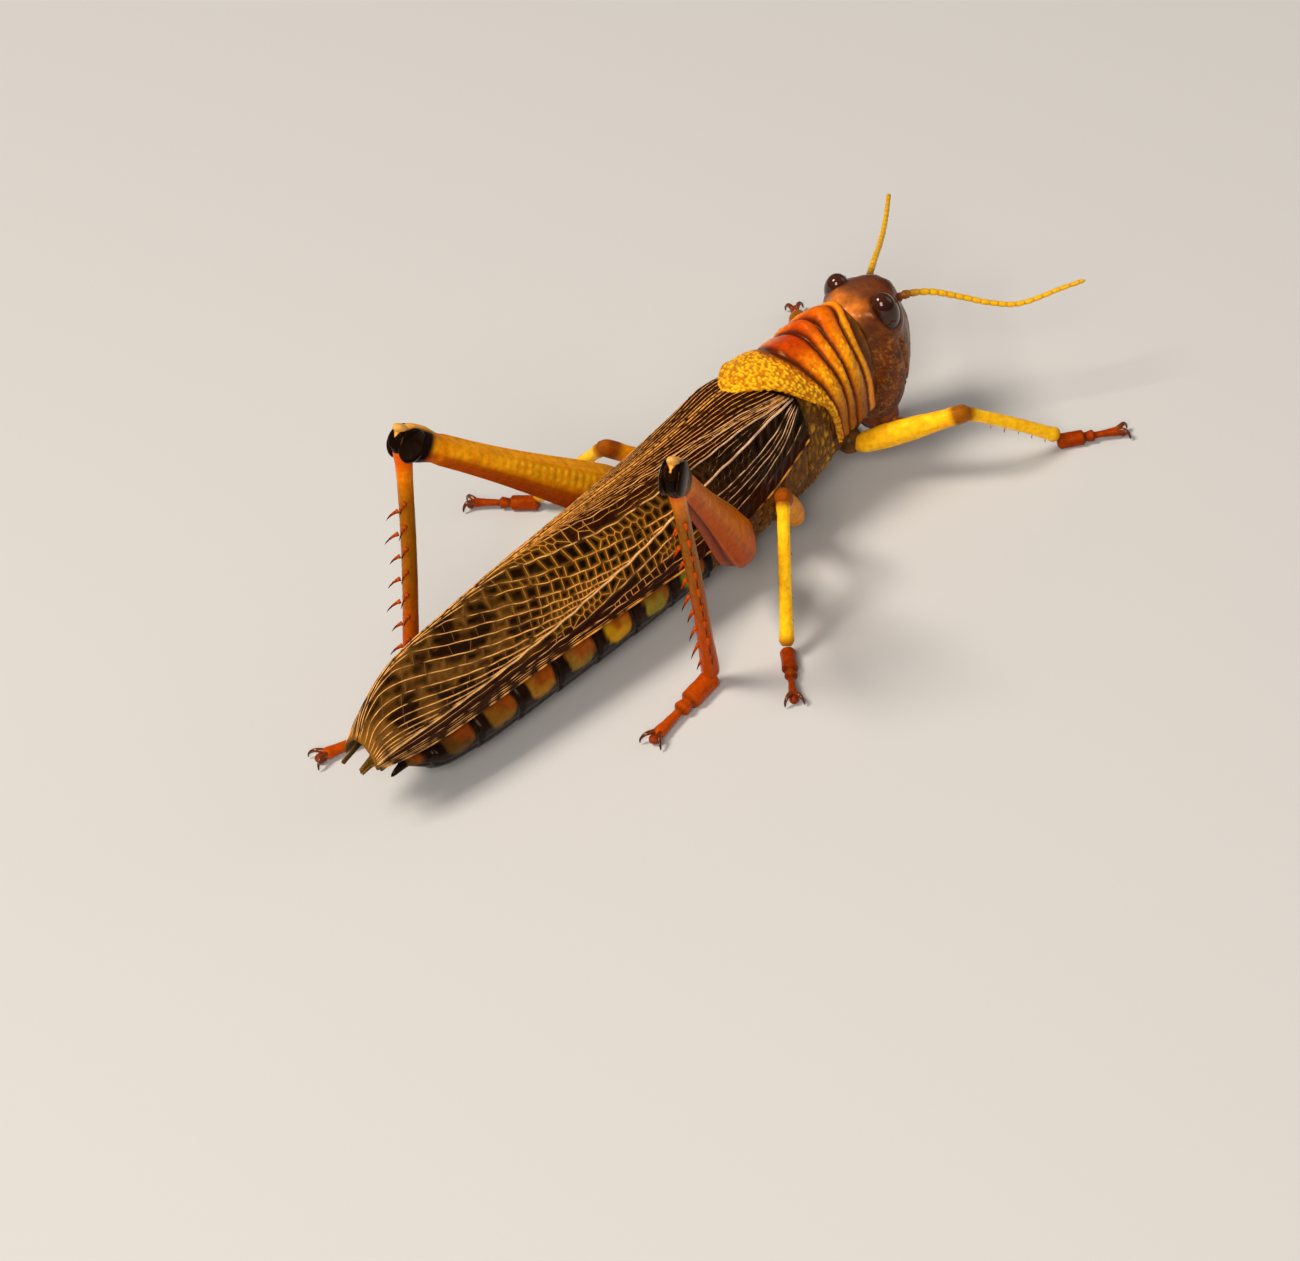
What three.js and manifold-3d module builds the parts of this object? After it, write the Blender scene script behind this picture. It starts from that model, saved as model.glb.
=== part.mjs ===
// A giant lubber grasshopper at rest with its wings folded, life size, in millimetres.
// Lengths are taken from a point between the eyes: x forward, y to the insect's left, z up.
// The finished group is then lifted so that the soles of the six feet lie at z = 0.
import * as THREE from "three";
import { mergeVertices } from "three/addons/utils/BufferGeometryUtils.js";
import Module from "manifold-3d";

const wasm = await Module();
wasm.setup();

// ---------------------------------------------------------------- driving dimensions
const eyeHeight = 21.5;          // centre of the eyes above the floor
const centreX = -34.57;          // middle of the whole insect's length, from the eyes
const centreY = 3.15;             // middle of its width, from its own midline
const gap = 0.3;                 // clearance kept between touching pieces
const floorLevel = -eyeHeight;
const weldDistance = 1e-4;

const headBack = -4.2;           // flat rear face of the head
const prothoraxFront = headBack - gap;
const prothoraxRear = -13.6;
const thoraxFront = prothoraxRear - gap;
const thoraxRear = -37.4;
const abdomenFront = thoraxRear - gap;

const wingThickness = 0.5;       // leathery fore wing
const hindWingThickness = 0.5;   // folded fan beneath it
const veinRise = 0.28;           // main veins stand this far above the membrane
const veinCount = 9;
const wingRows = 17;             // steps along each fore wing

const ankleHeight = 1.9;         // end of each tibia above the floor

const skin = {
  head: "#5a2413",
  eye: "#2c1008",
  horn: "#7a3316",
  antenna: "#c98a1e",
  shield: "#b4561c",
  thorax: "#8a5a22",
  abdomen: "#1d1512",
  foreWing: "#3a2317",
  hindWing: "#5b4426",
  coxa: "#7d4a1d",
  hindFemur: "#c8741f",
  femur: "#d09020",
  hindTibia: "#a5401b",
  tibia: "#d8a528",
  tarsus: "#a03c24",
};

// ---------------------------------------------------------------- shared shape helpers
function vector(row) {
  return new THREE.Vector3(row[0], row[1], row[2]);
}

function mirrored(row, side) {
  return new THREE.Vector3(row[0], row[1] * side, row[2]);
}

// Reads a short table of stations, each row starting with its place, at any place between them.
function readStations(table, place) {
  const ascending = table[table.length - 1][0] > table[0][0];
  const order = ascending ? 1 : -1;
  let i = 0;
  while (i < table.length - 2 && (place - table[i + 1][0]) * order > 0) {
    i += 1;
  }
  const [from, to] = [table[i], table[i + 1]];
  const share = THREE.MathUtils.clamp((place - from[0]) / (to[0] - from[0]), 0, 1);
  return from.slice(1).map((value, k) => THREE.MathUtils.lerp(value, to[k + 1], share));
}

// Signed power, for the rounded-square sections of a superellipse.
function signedPower(value, power) {
  return Math.sign(value) * Math.abs(value) ** power;
}

function signedVolume(position, index) {
  const a = new THREE.Vector3();
  const b = new THREE.Vector3();
  const c = new THREE.Vector3();
  let sum = 0;
  for (let i = 0; i < index.count; i += 3) {
    a.fromBufferAttribute(position, index.getX(i));
    b.fromBufferAttribute(position, index.getX(i + 1));
    c.fromBufferAttribute(position, index.getX(i + 2));
    sum += a.dot(b.cross(c)) / 6;
  }
  return sum;
}

// Turns a closed three.js geometry into a solid that can be joined and cut.
function toSolid(geometry) {
  const bare = geometry.clone();
  bare.deleteAttribute("normal");
  bare.deleteAttribute("uv");
  const welded = mergeVertices(bare, weldDistance);
  const triangles = Uint32Array.from(welded.index.array);
  if (signedVolume(welded.attributes.position, welded.index) < 0) {
    for (let i = 0; i < triangles.length; i += 3) {
      [triangles[i], triangles[i + 1]] = [triangles[i + 1], triangles[i]];
    }
  }
  const vertProperties = Float32Array.from(welded.attributes.position.array);
  return new wasm.Manifold(new wasm.Mesh({ numProp: 3, vertProperties, triVerts: triangles }));
}

// A closed form of stacked rings: place(ring, angle, reach) gives each point, and reach is
// 0 in the middle of an end cap and 1 on the wall.
function loft(ringCount, sides, place) {
  const tube = new THREE.CylinderGeometry(1, 1, 1, sides, ringCount - 1);
  const spot = tube.attributes.position;
  for (let i = 0; i < spot.count; i += 1) {
    const ring = Math.round((0.5 - spot.getY(i)) * (ringCount - 1));
    const angle = Math.atan2(spot.getZ(i), spot.getX(i));
    const reach = Math.hypot(spot.getX(i), spot.getZ(i));
    const point = place(ring, angle, reach);
    spot.setXYZ(i, point.x, point.y, point.z);
  }
  return toSolid(tube);
}

// A thin closed sheet between two surfaces that share one triangulation.
function sheet(columns, rows, outer, inner) {
  const plane = new THREE.PlaneGeometry(1, 1, columns, rows);
  const grid = plane.attributes.position;
  const count = grid.count;
  const points = [];
  for (const surface of [outer, inner]) {
    for (let i = 0; i < count; i += 1) {
      points.push(...surface(grid.getX(i) + 0.5, 0.5 - grid.getY(i)).toArray());
    }
  }
  const top = Array.from(plane.index.array);
  const triangles = [...top];
  const edges = new Map();
  for (let i = 0; i < top.length; i += 3) {
    const corner = top.slice(i, i + 3);
    triangles.push(corner[1] + count, corner[0] + count, corner[2] + count);
    for (let k = 0; k < 3; k += 1) {
      edges.set(`${corner[k]}_${corner[(k + 1) % 3]}`, [corner[k], corner[(k + 1) % 3]]);
    }
  }
  for (const [from, to] of edges.values()) {
    if (!edges.has(`${to}_${from}`)) {
      triangles.push(to, from, from + count);
      triangles.push(to, from + count, to + count);
    }
  }
  const geometry = new THREE.BufferGeometry();
  geometry.setAttribute("position", new THREE.Float32BufferAttribute(points, 3));
  geometry.setIndex(triangles);
  return toSolid(geometry);
}

// A round-ended limb from one joint to the next. Each row holds the place along it, half its
// height in the leg's own plane and half its thickness across that plane.
function limb({ from, to, across, rows, sides, bow = 0, keel = 0 }, grow = 0) {
  const axis = to.clone().sub(from);
  const along = axis.clone().normalize();
  const height = new THREE.Vector3().crossVectors(along, across).normalize();
  const last = rows.length - 1;
  return loft(rows.length, sides, (ring, angle, reach) => {
    const [t, halfHeight, halfWidth] = rows[ring];
    const endShift = ring === 0 ? -grow : (ring === last ? grow : 0);
    const ridge = 1 + keel * Math.abs(Math.sin(angle)) ** 8;
    return from.clone()
      .addScaledVector(axis, t)
      .addScaledVector(along, endShift)
      .addScaledVector(height, bow * Math.sin(Math.PI * THREE.MathUtils.clamp(t, 0, 1)))
      .addScaledVector(height, Math.sin(angle) * reach * (halfHeight * ridge + grow))
      .addScaledVector(across, Math.cos(angle) * reach * (halfWidth + grow));
  });
}

// An ellipsoid, also used as a short cushion or a joint.
function ellipsoid(centre, radii, grow = 0, sides = 12) {
  const ball = new THREE.SphereGeometry(1, sides, Math.round(sides * 0.7));
  ball.scale(radii.x + grow, radii.y + grow, radii.z + grow);
  ball.translate(centre.x, centre.y, centre.z);
  return toSolid(ball);
}

// A round, tapering tube along a curve, with one radius for each of its rings.
function tubeAlong(curve, radii, sides) {
  const steps = radii.length - 1;
  const frames = curve.computeFrenetFrames(steps, false);
  return loft(radii.length, sides, (ring, angle, reach) => curve.getPointAt(ring / steps)
    .addScaledVector(frames.normals[ring], Math.cos(angle) * reach * radii[ring])
    .addScaledVector(frames.binormals[ring], Math.sin(angle) * reach * radii[ring]));
}

// A slender spine with its root sunk into what it grows from.
function spine(root, tip, radius, sides = 5) {
  const cone = new THREE.ConeGeometry(radius, root.distanceTo(tip), sides);
  const up = new THREE.Vector3(0, 1, 0);
  const turn = new THREE.Quaternion().setFromUnitVectors(up, tip.clone().sub(root).normalize());
  cone.applyQuaternion(turn);
  const middle = root.clone().add(tip).multiplyScalar(0.5);
  cone.translate(middle.x, middle.y, middle.z);
  return toSolid(cone);
}

function joined(solids) {
  return wasm.Manifold.union(solids);
}

function without(solid, cutters) {
  return cutters.reduce((rest, cutter) => rest.subtract(cutter), solid);
}

// Keeps the largest closed surface and hands it back as a named mesh.
function piece(name, solid, colour, roughness) {
  const parts = solid.decompose();
  const main = parts.reduce((best, next) => (next.volume() > best.volume() ? next : best));
  const mesh = main.getMesh();
  const geometry = new THREE.BufferGeometry();
  geometry.setAttribute("position", new THREE.Float32BufferAttribute(mesh.vertProperties, 3));
  geometry.setIndex(Array.from(mesh.triVerts));
  geometry.computeVertexNormals();
  const finish = new THREE.MeshStandardMaterial({ color: colour, roughness, metalness: 0 });
  const result = new THREE.Mesh(geometry, finish);
  result.name = name;
  return result;
}

const locust = new THREE.Group();
const sides = [{ label: "left", sign: 1 }, { label: "right", sign: -1 }];

// ---------------------------------------------------------------- head and eyes
// Level by level from the crown to the mouth: front, back and half the width.
const headLevels = [
  [2.1, 2.2, -2.4, 1.2],
  [1.7, 3.3, -4.2, 2.5],
  [0.7, 4.2, -5.0, 3.6],
  [-1.2, 4.7, -5.2, 4.3],
  [-4.0, 5.0, -5.2, 5.0],
  [-7.5, 4.9, -5.2, 5.4],
  [-10.8, 4.0, -5.2, 5.3],
  [-13.4, 3.1, -5.0, 4.8],
  [-15.2, 2.4, -4.2, 4.1],
  [-15.8, 1.9, -3.2, 3.6],
];
const headSides = 20;
const eyeCentre = [-0.2, 4.0, -0.2];
const eyeRadii = new THREE.Vector3(2.0, 1.8, 2.8);
const eyeLean = 0.16;            // the eyes lean in towards the crown

function headForm(grow = 0) {
  return loft(headLevels.length, headSides, (ring, angle, reach) => {
    const [z, front, back, halfWidth] = headLevels[ring];
    const middle = (front + back) / 2;
    const depth = (front - back) / 2 + grow;
    const x = middle + depth * signedPower(Math.cos(angle), 0.9) * reach;
    const y = (halfWidth + grow) * signedPower(Math.sin(angle), 0.85) * reach;
    return new THREE.Vector3(x, y, z);
  });
}

// A big block with one face at x, used to trim a form square across the body.
function blockAhead(x) {
  const block = new THREE.BoxGeometry(60, 60, 60);
  block.translate(x + 30, 0, -10);
  return toSolid(block);
}

// An eye stands proud of the cheek, its lower end a little forward and outward.
function eyeForm(sign, grow = 0) {
  const ball = new THREE.SphereGeometry(1, 12, 10);
  ball.scale(eyeRadii.x + grow, eyeRadii.y + grow, eyeRadii.z + grow);
  ball.rotateX(eyeLean * sign);
  ball.rotateY(-eyeLean);
  ball.translate(eyeCentre[0], eyeCentre[1] * sign, eyeCentre[2]);
  return toSolid(ball);
}

const eyeSockets = sides.map(({ sign }) => eyeForm(sign, gap));
const headTrimmed = headForm().intersect(blockAhead(headBack));

// ---------------------------------------------------------------- antennae
const antennaSegments = 24;
const antennaRadius = 0.5;
const antennaTipRadius = 0.3;
const antennaReach = {
  left: [[2.4, 1.8, -1.8], [4.4, 3.0, -0.6], [8.4, 5.6, -0.9], [13.5, 9.3, -2.6], [18.8, 13.2, -3.6],
    [24.0, 17.2, -3.9]],
  right: [[2.4, -1.8, -1.8], [4.2, -3.0, -0.6], [7.1, -5.0, -1.0], [10.4, -7.2, -2.9], [13.0, -9.6, -4.4],
    [16.1, -12.0, -5.4], [20.7, -15.0, -4.6], [23.2, -17.0, -4.0]],
};

function antennaForm(points) {
  const curve = new THREE.CatmullRomCurve3(points.map(vector));
  const radii = [];
  for (let i = 0; i <= antennaSegments; i += 1) {
    const share = i / antennaSegments;
    const swelling = i % 2 === 0 ? 1 : 0.84;
    const scape = Math.max(0, 1 - share * 14) * 0.5;
    radii.push((THREE.MathUtils.lerp(antennaRadius, antennaTipRadius, share) + scape) * swelling);
  }
  return tubeAlong(curve, radii, 6);
}

const head = without(headTrimmed, eyeSockets);
locust.add(piece("head", head, skin.head, 0.4));

for (const { label, sign } of sides) {
  const eye = eyeForm(sign);
  const antenna = without(antennaForm(antennaReach[label]), [headForm(gap), ...eyeSockets]);
  locust.add(piece(`eye_${label}`, eye, skin.eye, 0.1));
  locust.add(piece(`antenna_${label}`, antenna, skin.antenna, 0.5));
}

// ---------------------------------------------------------------- mouthparts
const mouthTop = -15.8 - gap;
const mouthBottom = -19.4;

function mouthForm() {
  const levels = [
    [mouthTop, 2.0, -3.0, 3.5],
    [-17.4, 1.9, -2.8, 3.4],
    [-18.7, 1.4, -2.2, 2.6],
    [mouthBottom, 0.7, -1.4, 1.7],
  ];
  const cone = loft(levels.length, 14, (ring, angle, reach) => {
    const [z, front, back, halfWidth] = levels[ring];
    const x = (front + back) / 2 + (front - back) / 2 * Math.cos(angle) * reach;
    return new THREE.Vector3(x, halfWidth * Math.sin(angle) * reach, z);
  });
  const palps = [];
  for (const { sign } of sides) {
    const upper = [[-0.8, 2.4, -17.0], [0.4, 4.7, -17.4], [2.0, 5.2, -18.4], [2.8, 4.7, -20.2]];
    const lower = [[-1.6, 1.2, -17.6], [-2.2, 3.1, -18.8], [-1.0, 3.8, -20.4]];
    for (const route of [upper, lower]) {
      const curve = new THREE.CatmullRomCurve3(route.map((row) => mirrored(row, sign)));
      palps.push(tubeAlong(curve, [0.4, 0.55, 0.45, 0.55, 0.45, 0.3], 5));
    }
  }
  return joined([cone, ...palps]);
}

locust.add(piece("mouthparts", mouthForm(), skin.horn, 0.45));

// ---------------------------------------------------------------- pronotum
// Three raised lobes parted by deep furrows, then a broad plate that ends in a blunt point.
const prothoraxSections = [
  [prothoraxFront, 2.2, 5.5, -14.9],
  [-8, 2.2, 6.0, -15.6],
  [-11, 1.3, 6.4, -16.4],
  [prothoraxRear, 0.4, 6.7, -17.0],
];
const prothoraxGirth = -6.2;     // height at which it is widest
const crestLobes = [
  { from: prothoraxFront, to: -8.3, rise: 0.8, bulge: 0.45 },
  { from: -8.6, to: -10.8, rise: 0.7, bulge: 0.4 },
  { from: -11.1, to: prothoraxRear, rise: 0.6, bulge: 0.35 },
];
const lobeRings = 5;
const prothoraxSides = 20;
const crestSharpness = 12;

// The lobes stand out over the back and flanks and die away below the girth.
function prothoraxForm(grow = 0) {
  const rings = [];
  for (const lobe of crestLobes) {
    for (let i = 0; i < lobeRings; i += 1) {
      const share = i / (lobeRings - 1);
      const swell = Math.sin(Math.PI * share) ** 0.7;
      rings.push({ x: THREE.MathUtils.lerp(lobe.from, lobe.to, share), lobe, swell });
    }
  }
  return loft(rings.length, prothoraxSides, (ring, angle, reach) => {
    const { x, lobe, swell } = rings[ring];
    const [top, halfWidth, bottom] = readStations(prothoraxSections, x);
    const rise = Math.sin(angle);
    const half = rise > 0 ? top - prothoraxGirth : prothoraxGirth - bottom;
    const bulge = lobe.bulge * swell * THREE.MathUtils.smoothstep(rise, -0.8, 0.2) + grow;
    const crest = lobe.rise * swell * Math.max(0, rise) ** crestSharpness;
    const square = rise > 0 ? 0.9 : 0.6;
    const y = (halfWidth + bulge) * signedPower(Math.cos(angle), square) * reach;
    const z = prothoraxGirth + ((half + bulge) * signedPower(rise, 0.95) + crest) * reach;
    return new THREE.Vector3(x, y, z);
  });
}

// The rear plate is an arch: height of its top along the midline.
const plateTops = [
  [-12.6, 0.4],
  [-13.9, 0.6],
  [-16, 1.5],
  [-18.6, 2.1],
  [-21.5, 2.2],
  [-26.5, 0.9],
];
const plateFront = -12.6;
const plateGirth = -6.8;
const plateHalfWidth = 7.2;
const plateThickness = 1.0;
const plateLowest = -0.3;        // angle of the lower end of the side lobe, in radians
// Rear edge, from the side lobe's lower end up to the blunt point on the midline.
const plateRearEdge = [
  [-0.3, -14.6],
  [0.2, -15.4],
  [0.5, -18.0],
  [0.74, -19.4],
  [0.9, -21.0],
  [1.3, -24.0],
  [Math.PI / 2, -26.0],
];

// A point of the plate: across runs from -1 to 1, and along from 0 to 1 at the rear edge.
function platePoint(across, along, inset) {
  const side = Math.sign(across) || 1;
  const angle = THREE.MathUtils.lerp(Math.PI / 2, plateLowest, Math.abs(across));
  const [rear] = readStations(plateRearEdge, angle);
  const x = THREE.MathUtils.lerp(plateFront, rear, along);
  const [top] = readStations(plateTops, x);
  const y = side * (plateHalfWidth - inset) * Math.cos(angle) ** 0.9;
  return new THREE.Vector3(x, y, plateGirth + (top - plateGirth - inset) * Math.sin(angle));
}

function plateForm(grow = 0) {
  const place = (u, v, inset) => platePoint((u * 2 - 1) * (1 + grow / 16), v * (1 + grow / 10), inset);
  const outer = (u, v) => place(u, v, -grow);
  const inner = (u, v) => place(u, v, plateThickness + grow);
  return sheet(16, 5, outer, inner);
}

// ---------------------------------------------------------------- wings
// Stations from the root to the tip: height of the upper edge, half the flat back strip,
// half the width at the lower edge and height of that edge.
const wingStations = [
  [-17, 0.6, 3.4, 6.6, -6.6],
  [-21, 1.0, 3.4, 7.0, -8.4],
  [-27, 1.7, 3.3, 7.4, -10.6],
  [-33, 1.1, 2.9, 7.6, -11.8],
  [-40, 0.6, 2.4, 7.5, -12.1],
  [-48, 0.45, 1.75, 7.2, -12.0],
  [-56, 0.4, 1.2, 6.8, -12.0],
  [-66, 0.1, 0.7, 6.0, -12.2],
  [-76, -0.9, 0.6, 5.2, -12.7],
  [-83, -1.8, 0.6, 4.5, -13.0],
  [-87, -3.4, 0.7, 4.0, -12.8],
  [-90, -6.2, 0.9, 3.4, -12.5],
  [-91.8, -9.2, 1.4, 2.9, -12.3],
  [-94, -10.8, 1.8, 2.6, -12.1],
];
const wingStripShare = 0.18;
const wingMidGap = gap / 2;
const wingStripFall = 0.5;       // the back strip falls this much towards its outer edge
const wingBulge = 0.9;           // the side of the folded wing bows out by this much
const wingRoot = -18.8;
const wingShoulder = 9;
const wingFrontGap = gap * 2.6;  // the wings end just behind the rear edge of the pronotum
const foreWingTip = -91.8;
const hindWingRoot = -32;
const hindWingTip = -93.4;

// The outer face of the left wing: share 0 is the edge on the midline and 1 the lower edge.
function wingFace(x, share) {
  const [top, strip, halfWidth, low] = readStations(wingStations, x);
  const shoulder = top - wingStripFall;
  if (share <= wingStripShare) {
    const out = share / wingStripShare;
    return new THREE.Vector3(x, wingMidGap + (strip - wingMidGap) * out, top - wingStripFall * out ** 2);
  }
  const down = (share - wingStripShare) / (1 - wingStripShare);
  const bulge = wingBulge * Math.sin(Math.PI * down) * Math.min(1, (halfWidth - strip) / 4);
  const y = strip + (halfWidth - strip) * down + bulge;
  return new THREE.Vector3(x, y, shoulder + (low - shoulder) * down);
}

// The same point moved inward by inset along the wing's own surface direction.
function wingPoint(x, share, inset, sign) {
  const step = 0.02;
  const across = wingFace(x, share + step).sub(wingFace(x, share - step));
  const along = wingFace(x + 1, share).sub(wingFace(x - 1, share));
  const inward = across.cross(along).normalize();
  const point = wingFace(x, share).addScaledVector(inward, inset);
  return new THREE.Vector3(point.x, point.y * sign, point.z);
}

// The front edge follows the rear edge of the pronotum, with the usual clearance.
function wingFront(share) {
  const { y, z } = wingFace(wingRoot, share);
  const angle = Math.atan2(z - plateGirth, y * (wingShoulder / plateHalfWidth));
  const [rear] = readStations(plateRearEdge, Math.max(angle, plateLowest));
  return Math.min(rear, wingRoot) - wingFrontGap;
}

function foreWing(sign, grow = 0) {
  const columns = veinCount * 2;
  const place = (u, v, inset) => {
    const front = wingFront(u) + grow;
    const x = THREE.MathUtils.lerp(front, foreWingTip - grow, v);
    return wingPoint(x, u * (1 + grow / 16), inset, sign);
  };
  const outer = (u, v) => {
    const onVein = Math.round(u * columns) % 2 === 1;
    return place(u, v, -grow - (onVein && grow === 0 ? veinRise : 0));
  };
  const inner = (u, v) => place(u, v, wingThickness + grow);
  return sheet(columns, wingRows, outer, inner);
}

const hindWingInset = wingThickness + 0.4;
const hindWingUpper = 0.27;      // the folded fan starts below the shoulder
const hindWingTipUpper = 0.55;   // and narrows to a point that shows beyond the fore wing
const hindWingTaper = -76;
const hindWingLower = 0.97;

function hindWing(sign, grow = 0) {
  const place = (u, v, inset) => {
    const x = THREE.MathUtils.lerp(hindWingRoot + grow, hindWingTip - grow, v);
    const taper = THREE.MathUtils.smoothstep(hindWingTaper - x, 0, hindWingTaper - hindWingTip - 4);
    const upper = THREE.MathUtils.lerp(hindWingUpper, hindWingTipUpper, taper);
    const share = THREE.MathUtils.lerp(upper - grow / 16, hindWingLower + grow / 16, u);
    return wingPoint(x, share, inset, sign);
  };
  const outer = (u, v) => place(u, v, hindWingInset - grow);
  const inner = (u, v) => place(u, v, hindWingInset + hindWingThickness + grow);
  return sheet(6, 13, outer, inner);
}

const grownWings = [];
for (const { sign } of sides) {
  grownWings.push(foreWing(sign, gap), hindWing(sign, gap));
}

// ---------------------------------------------------------------- thorax and abdomen
const thoraxSections = [
  [thoraxFront, 0.0, 6.1, -17.0],
  [-17, 0.2, 6.5, -17.8],
  [-20, 0.0, 6.7, -18.2],
  [-24, -0.2, 6.9, -18.8],
  [-29, -0.4, 7.0, -19.2],
  [-34, -0.8, 6.8, -19.4],
  [thoraxRear, -1.4, 6.4, -19.4],
];
// Abdomen: top, half-width under the wings, girth below them and underside.
const abdomenSections = [
  [abdomenFront, -1.8, 5.0, 6.2, -19.6],
  [-50, -2.6, 4.9, 6.3, -20.0],
  [-58, -3.2, 4.6, 6.2, -20.0],
  [-66, -4.2, 4.1, 6.0, -19.9],
  [-74, -5.6, 3.4, 5.7, -19.8],
  [-79, -7.2, 2.8, 5.3, -19.4],
  [-83, -9.4, 2.4, 4.6, -18.6],
  [-86, -11.4, 1.8, 3.0, -16.4],
];
const abdomenGirth = -15.0;      // height at which the abdomen is widest
const abdomenShoulder = 0.3;     // share of its upper half by which it has narrowed
const bodyGirth = 0.36;          // the body is widest at this share of its height
const segmentLength = 6.6;
const segmentCount = 7;
const segmentStep = 0.3;

// One slice of the body, narrow above and round below.
function bodyPoint(sections, x, angle, reach, grow) {
  const [top, halfWidth, bottom] = readStations(sections, x);
  const middle = THREE.MathUtils.lerp(bottom, top, bodyGirth);
  const half = Math.sin(angle) > 0 ? top - middle : middle - bottom;
  const y = (halfWidth + grow) * signedPower(Math.cos(angle), 0.9) * reach;
  const z = middle + (half + grow) * Math.sin(angle) * reach;
  return new THREE.Vector3(x, y, z);
}

function thoraxForm(grow = 0) {
  const rings = thoraxSections.map((row) => row[0]);
  return loft(rings.length, 20, (ring, angle, reach) => {
    const end = ring === 0 ? grow : (ring === rings.length - 1 ? -grow : 0);
    return bodyPoint(thoraxSections, rings[ring] + end, angle, reach, grow);
  });
}

// One slice of the abdomen: a bell, slim between the wings and wide below them.
function abdomenPoint(x, angle, reach, grow) {
  const [top, upper, lower, bottom] = readStations(abdomenSections, x);
  const rise = Math.sin(angle);
  const half = rise > 0 ? top - abdomenGirth : abdomenGirth - bottom;
  const narrowing = THREE.MathUtils.smoothstep(rise, 0, abdomenShoulder);
  const width = THREE.MathUtils.lerp(lower, upper, narrowing) + grow;
  const y = width * signedPower(Math.cos(angle), 0.9) * reach;
  return new THREE.Vector3(x, y, abdomenGirth + (half + grow) * rise * reach);
}

function abdomenForm(grow = 0) {
  const rings = [];
  for (let i = 0; i < segmentCount; i += 1) {
    const start = abdomenFront - i * segmentLength;
    rings.push([start, i === 0 ? 0 : -segmentStep]);
    rings.push([start - 0.8, 0]);
    rings.push([start - segmentLength + 0.3, segmentStep * 0.3]);
  }
  rings.push([-84.2, -0.1], [-85.4, -0.2], [-86, -0.9]);
  return loft(rings.length, 18, (ring, angle, reach) => {
    const [x, swell] = rings[ring];
    const end = ring === 0 ? grow : (ring === rings.length - 1 ? -grow : 0);
    return abdomenPoint(x + end, angle, reach, grow + swell);
  });
}

// Short cerci and the four hooked valves with which the female digs.
function abdomenTip() {
  const tips = [];
  for (const { sign } of sides) {
    tips.push(spine(mirrored([-82.5, 1.8, -12.4], sign), mirrored([-87.2, 2.2, -12.2], sign), 0.7));
    tips.push(spine(mirrored([-83.0, 1.0, -13.6], sign), mirrored([-89.0, 0.9, -12.6], sign), 1.1));
    tips.push(spine(mirrored([-83.0, 1.0, -15.6], sign), mirrored([-88.6, 0.9, -16.6], sign), 1.1));
  }
  return tips;
}

const abdomen = without(joined([abdomenForm(), ...abdomenTip()]), grownWings);
const thorax = without(thoraxForm(), [...grownWings, plateForm(gap)]);
const pronotum = joined([prothoraxForm(), plateForm()]);

locust.add(piece("pronotum", without(pronotum, [thoraxForm(gap)]), skin.shield, 0.5));
locust.add(piece("abdomen", abdomen, skin.abdomen, 0.35));

for (const { label, sign } of sides) {
  locust.add(piece(`forewing_${label}`, foreWing(sign), skin.foreWing, 0.4));
  locust.add(piece(`hindwing_${label}`, hindWing(sign), skin.hindWing, 0.4));
}

// ---------------------------------------------------------------- legs
// Rows hold the place along the segment, half its height and half its thickness.
const frontLeg = {
  femur: [[0, 0.8, 0.8], [0.06, 1.3, 1.2], [0.28, 1.8, 1.5], [0.55, 1.7, 1.4], [0.82, 1.3, 1.15],
    [0.93, 1.35, 1.2], [1, 1.2, 1.1], [1.05, 0.6, 0.6]],
  tibia: [[0, 0.6, 0.6], [0.06, 1.0, 0.9], [0.14, 0.82, 0.78], [0.5, 0.86, 0.8], [0.86, 0.92, 0.84],
    [0.96, 1.0, 0.95], [1, 0.6, 0.6]],
  bow: 0.3,
  coxaRadii: [1.9, 1.9, 2.2],
  spineRows: 5,
  spineLength: 1.0,
  tarsusLength: 9.0,
  tarsusWidth: 1.0,
};
const middleLeg = {
  ...frontLeg,
  femur: frontLeg.femur.map(([t, height, width]) => [t, height * 0.95, width * 0.95]),
  tarsusLength: 9.6,
};
const hindLeg = {
  femur: [[0, 1.4, 1.2], [0.04, 2.1, 1.6], [0.11, 2.95, 2.1], [0.19, 3.3, 2.25], [0.3, 3.05, 2.1],
    [0.45, 2.5, 1.85], [0.6, 2.05, 1.6], [0.75, 1.8, 1.4], [0.87, 1.75, 1.3], [0.94, 2.3, 1.55],
    [0.99, 2.2, 1.5], [1.03, 1.2, 0.95]],
  tibia: [[0, 0.9, 0.8], [0.03, 1.35, 1.15], [0.08, 1.15, 1.0], [0.2, 1.0, 0.9], [0.5, 1.0, 0.9],
    [0.8, 1.1, 0.95], [0.94, 1.25, 1.1], [0.985, 1.3, 1.15], [1, 0.8, 0.8]],
  bow: -0.6,
  coxaRadii: [2.6, 2.2, 2.6],
  spineRows: 9,
  spineLength: 2.1,
  tarsusLength: 13.2,
  tarsusWidth: 1.3,
};

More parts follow.
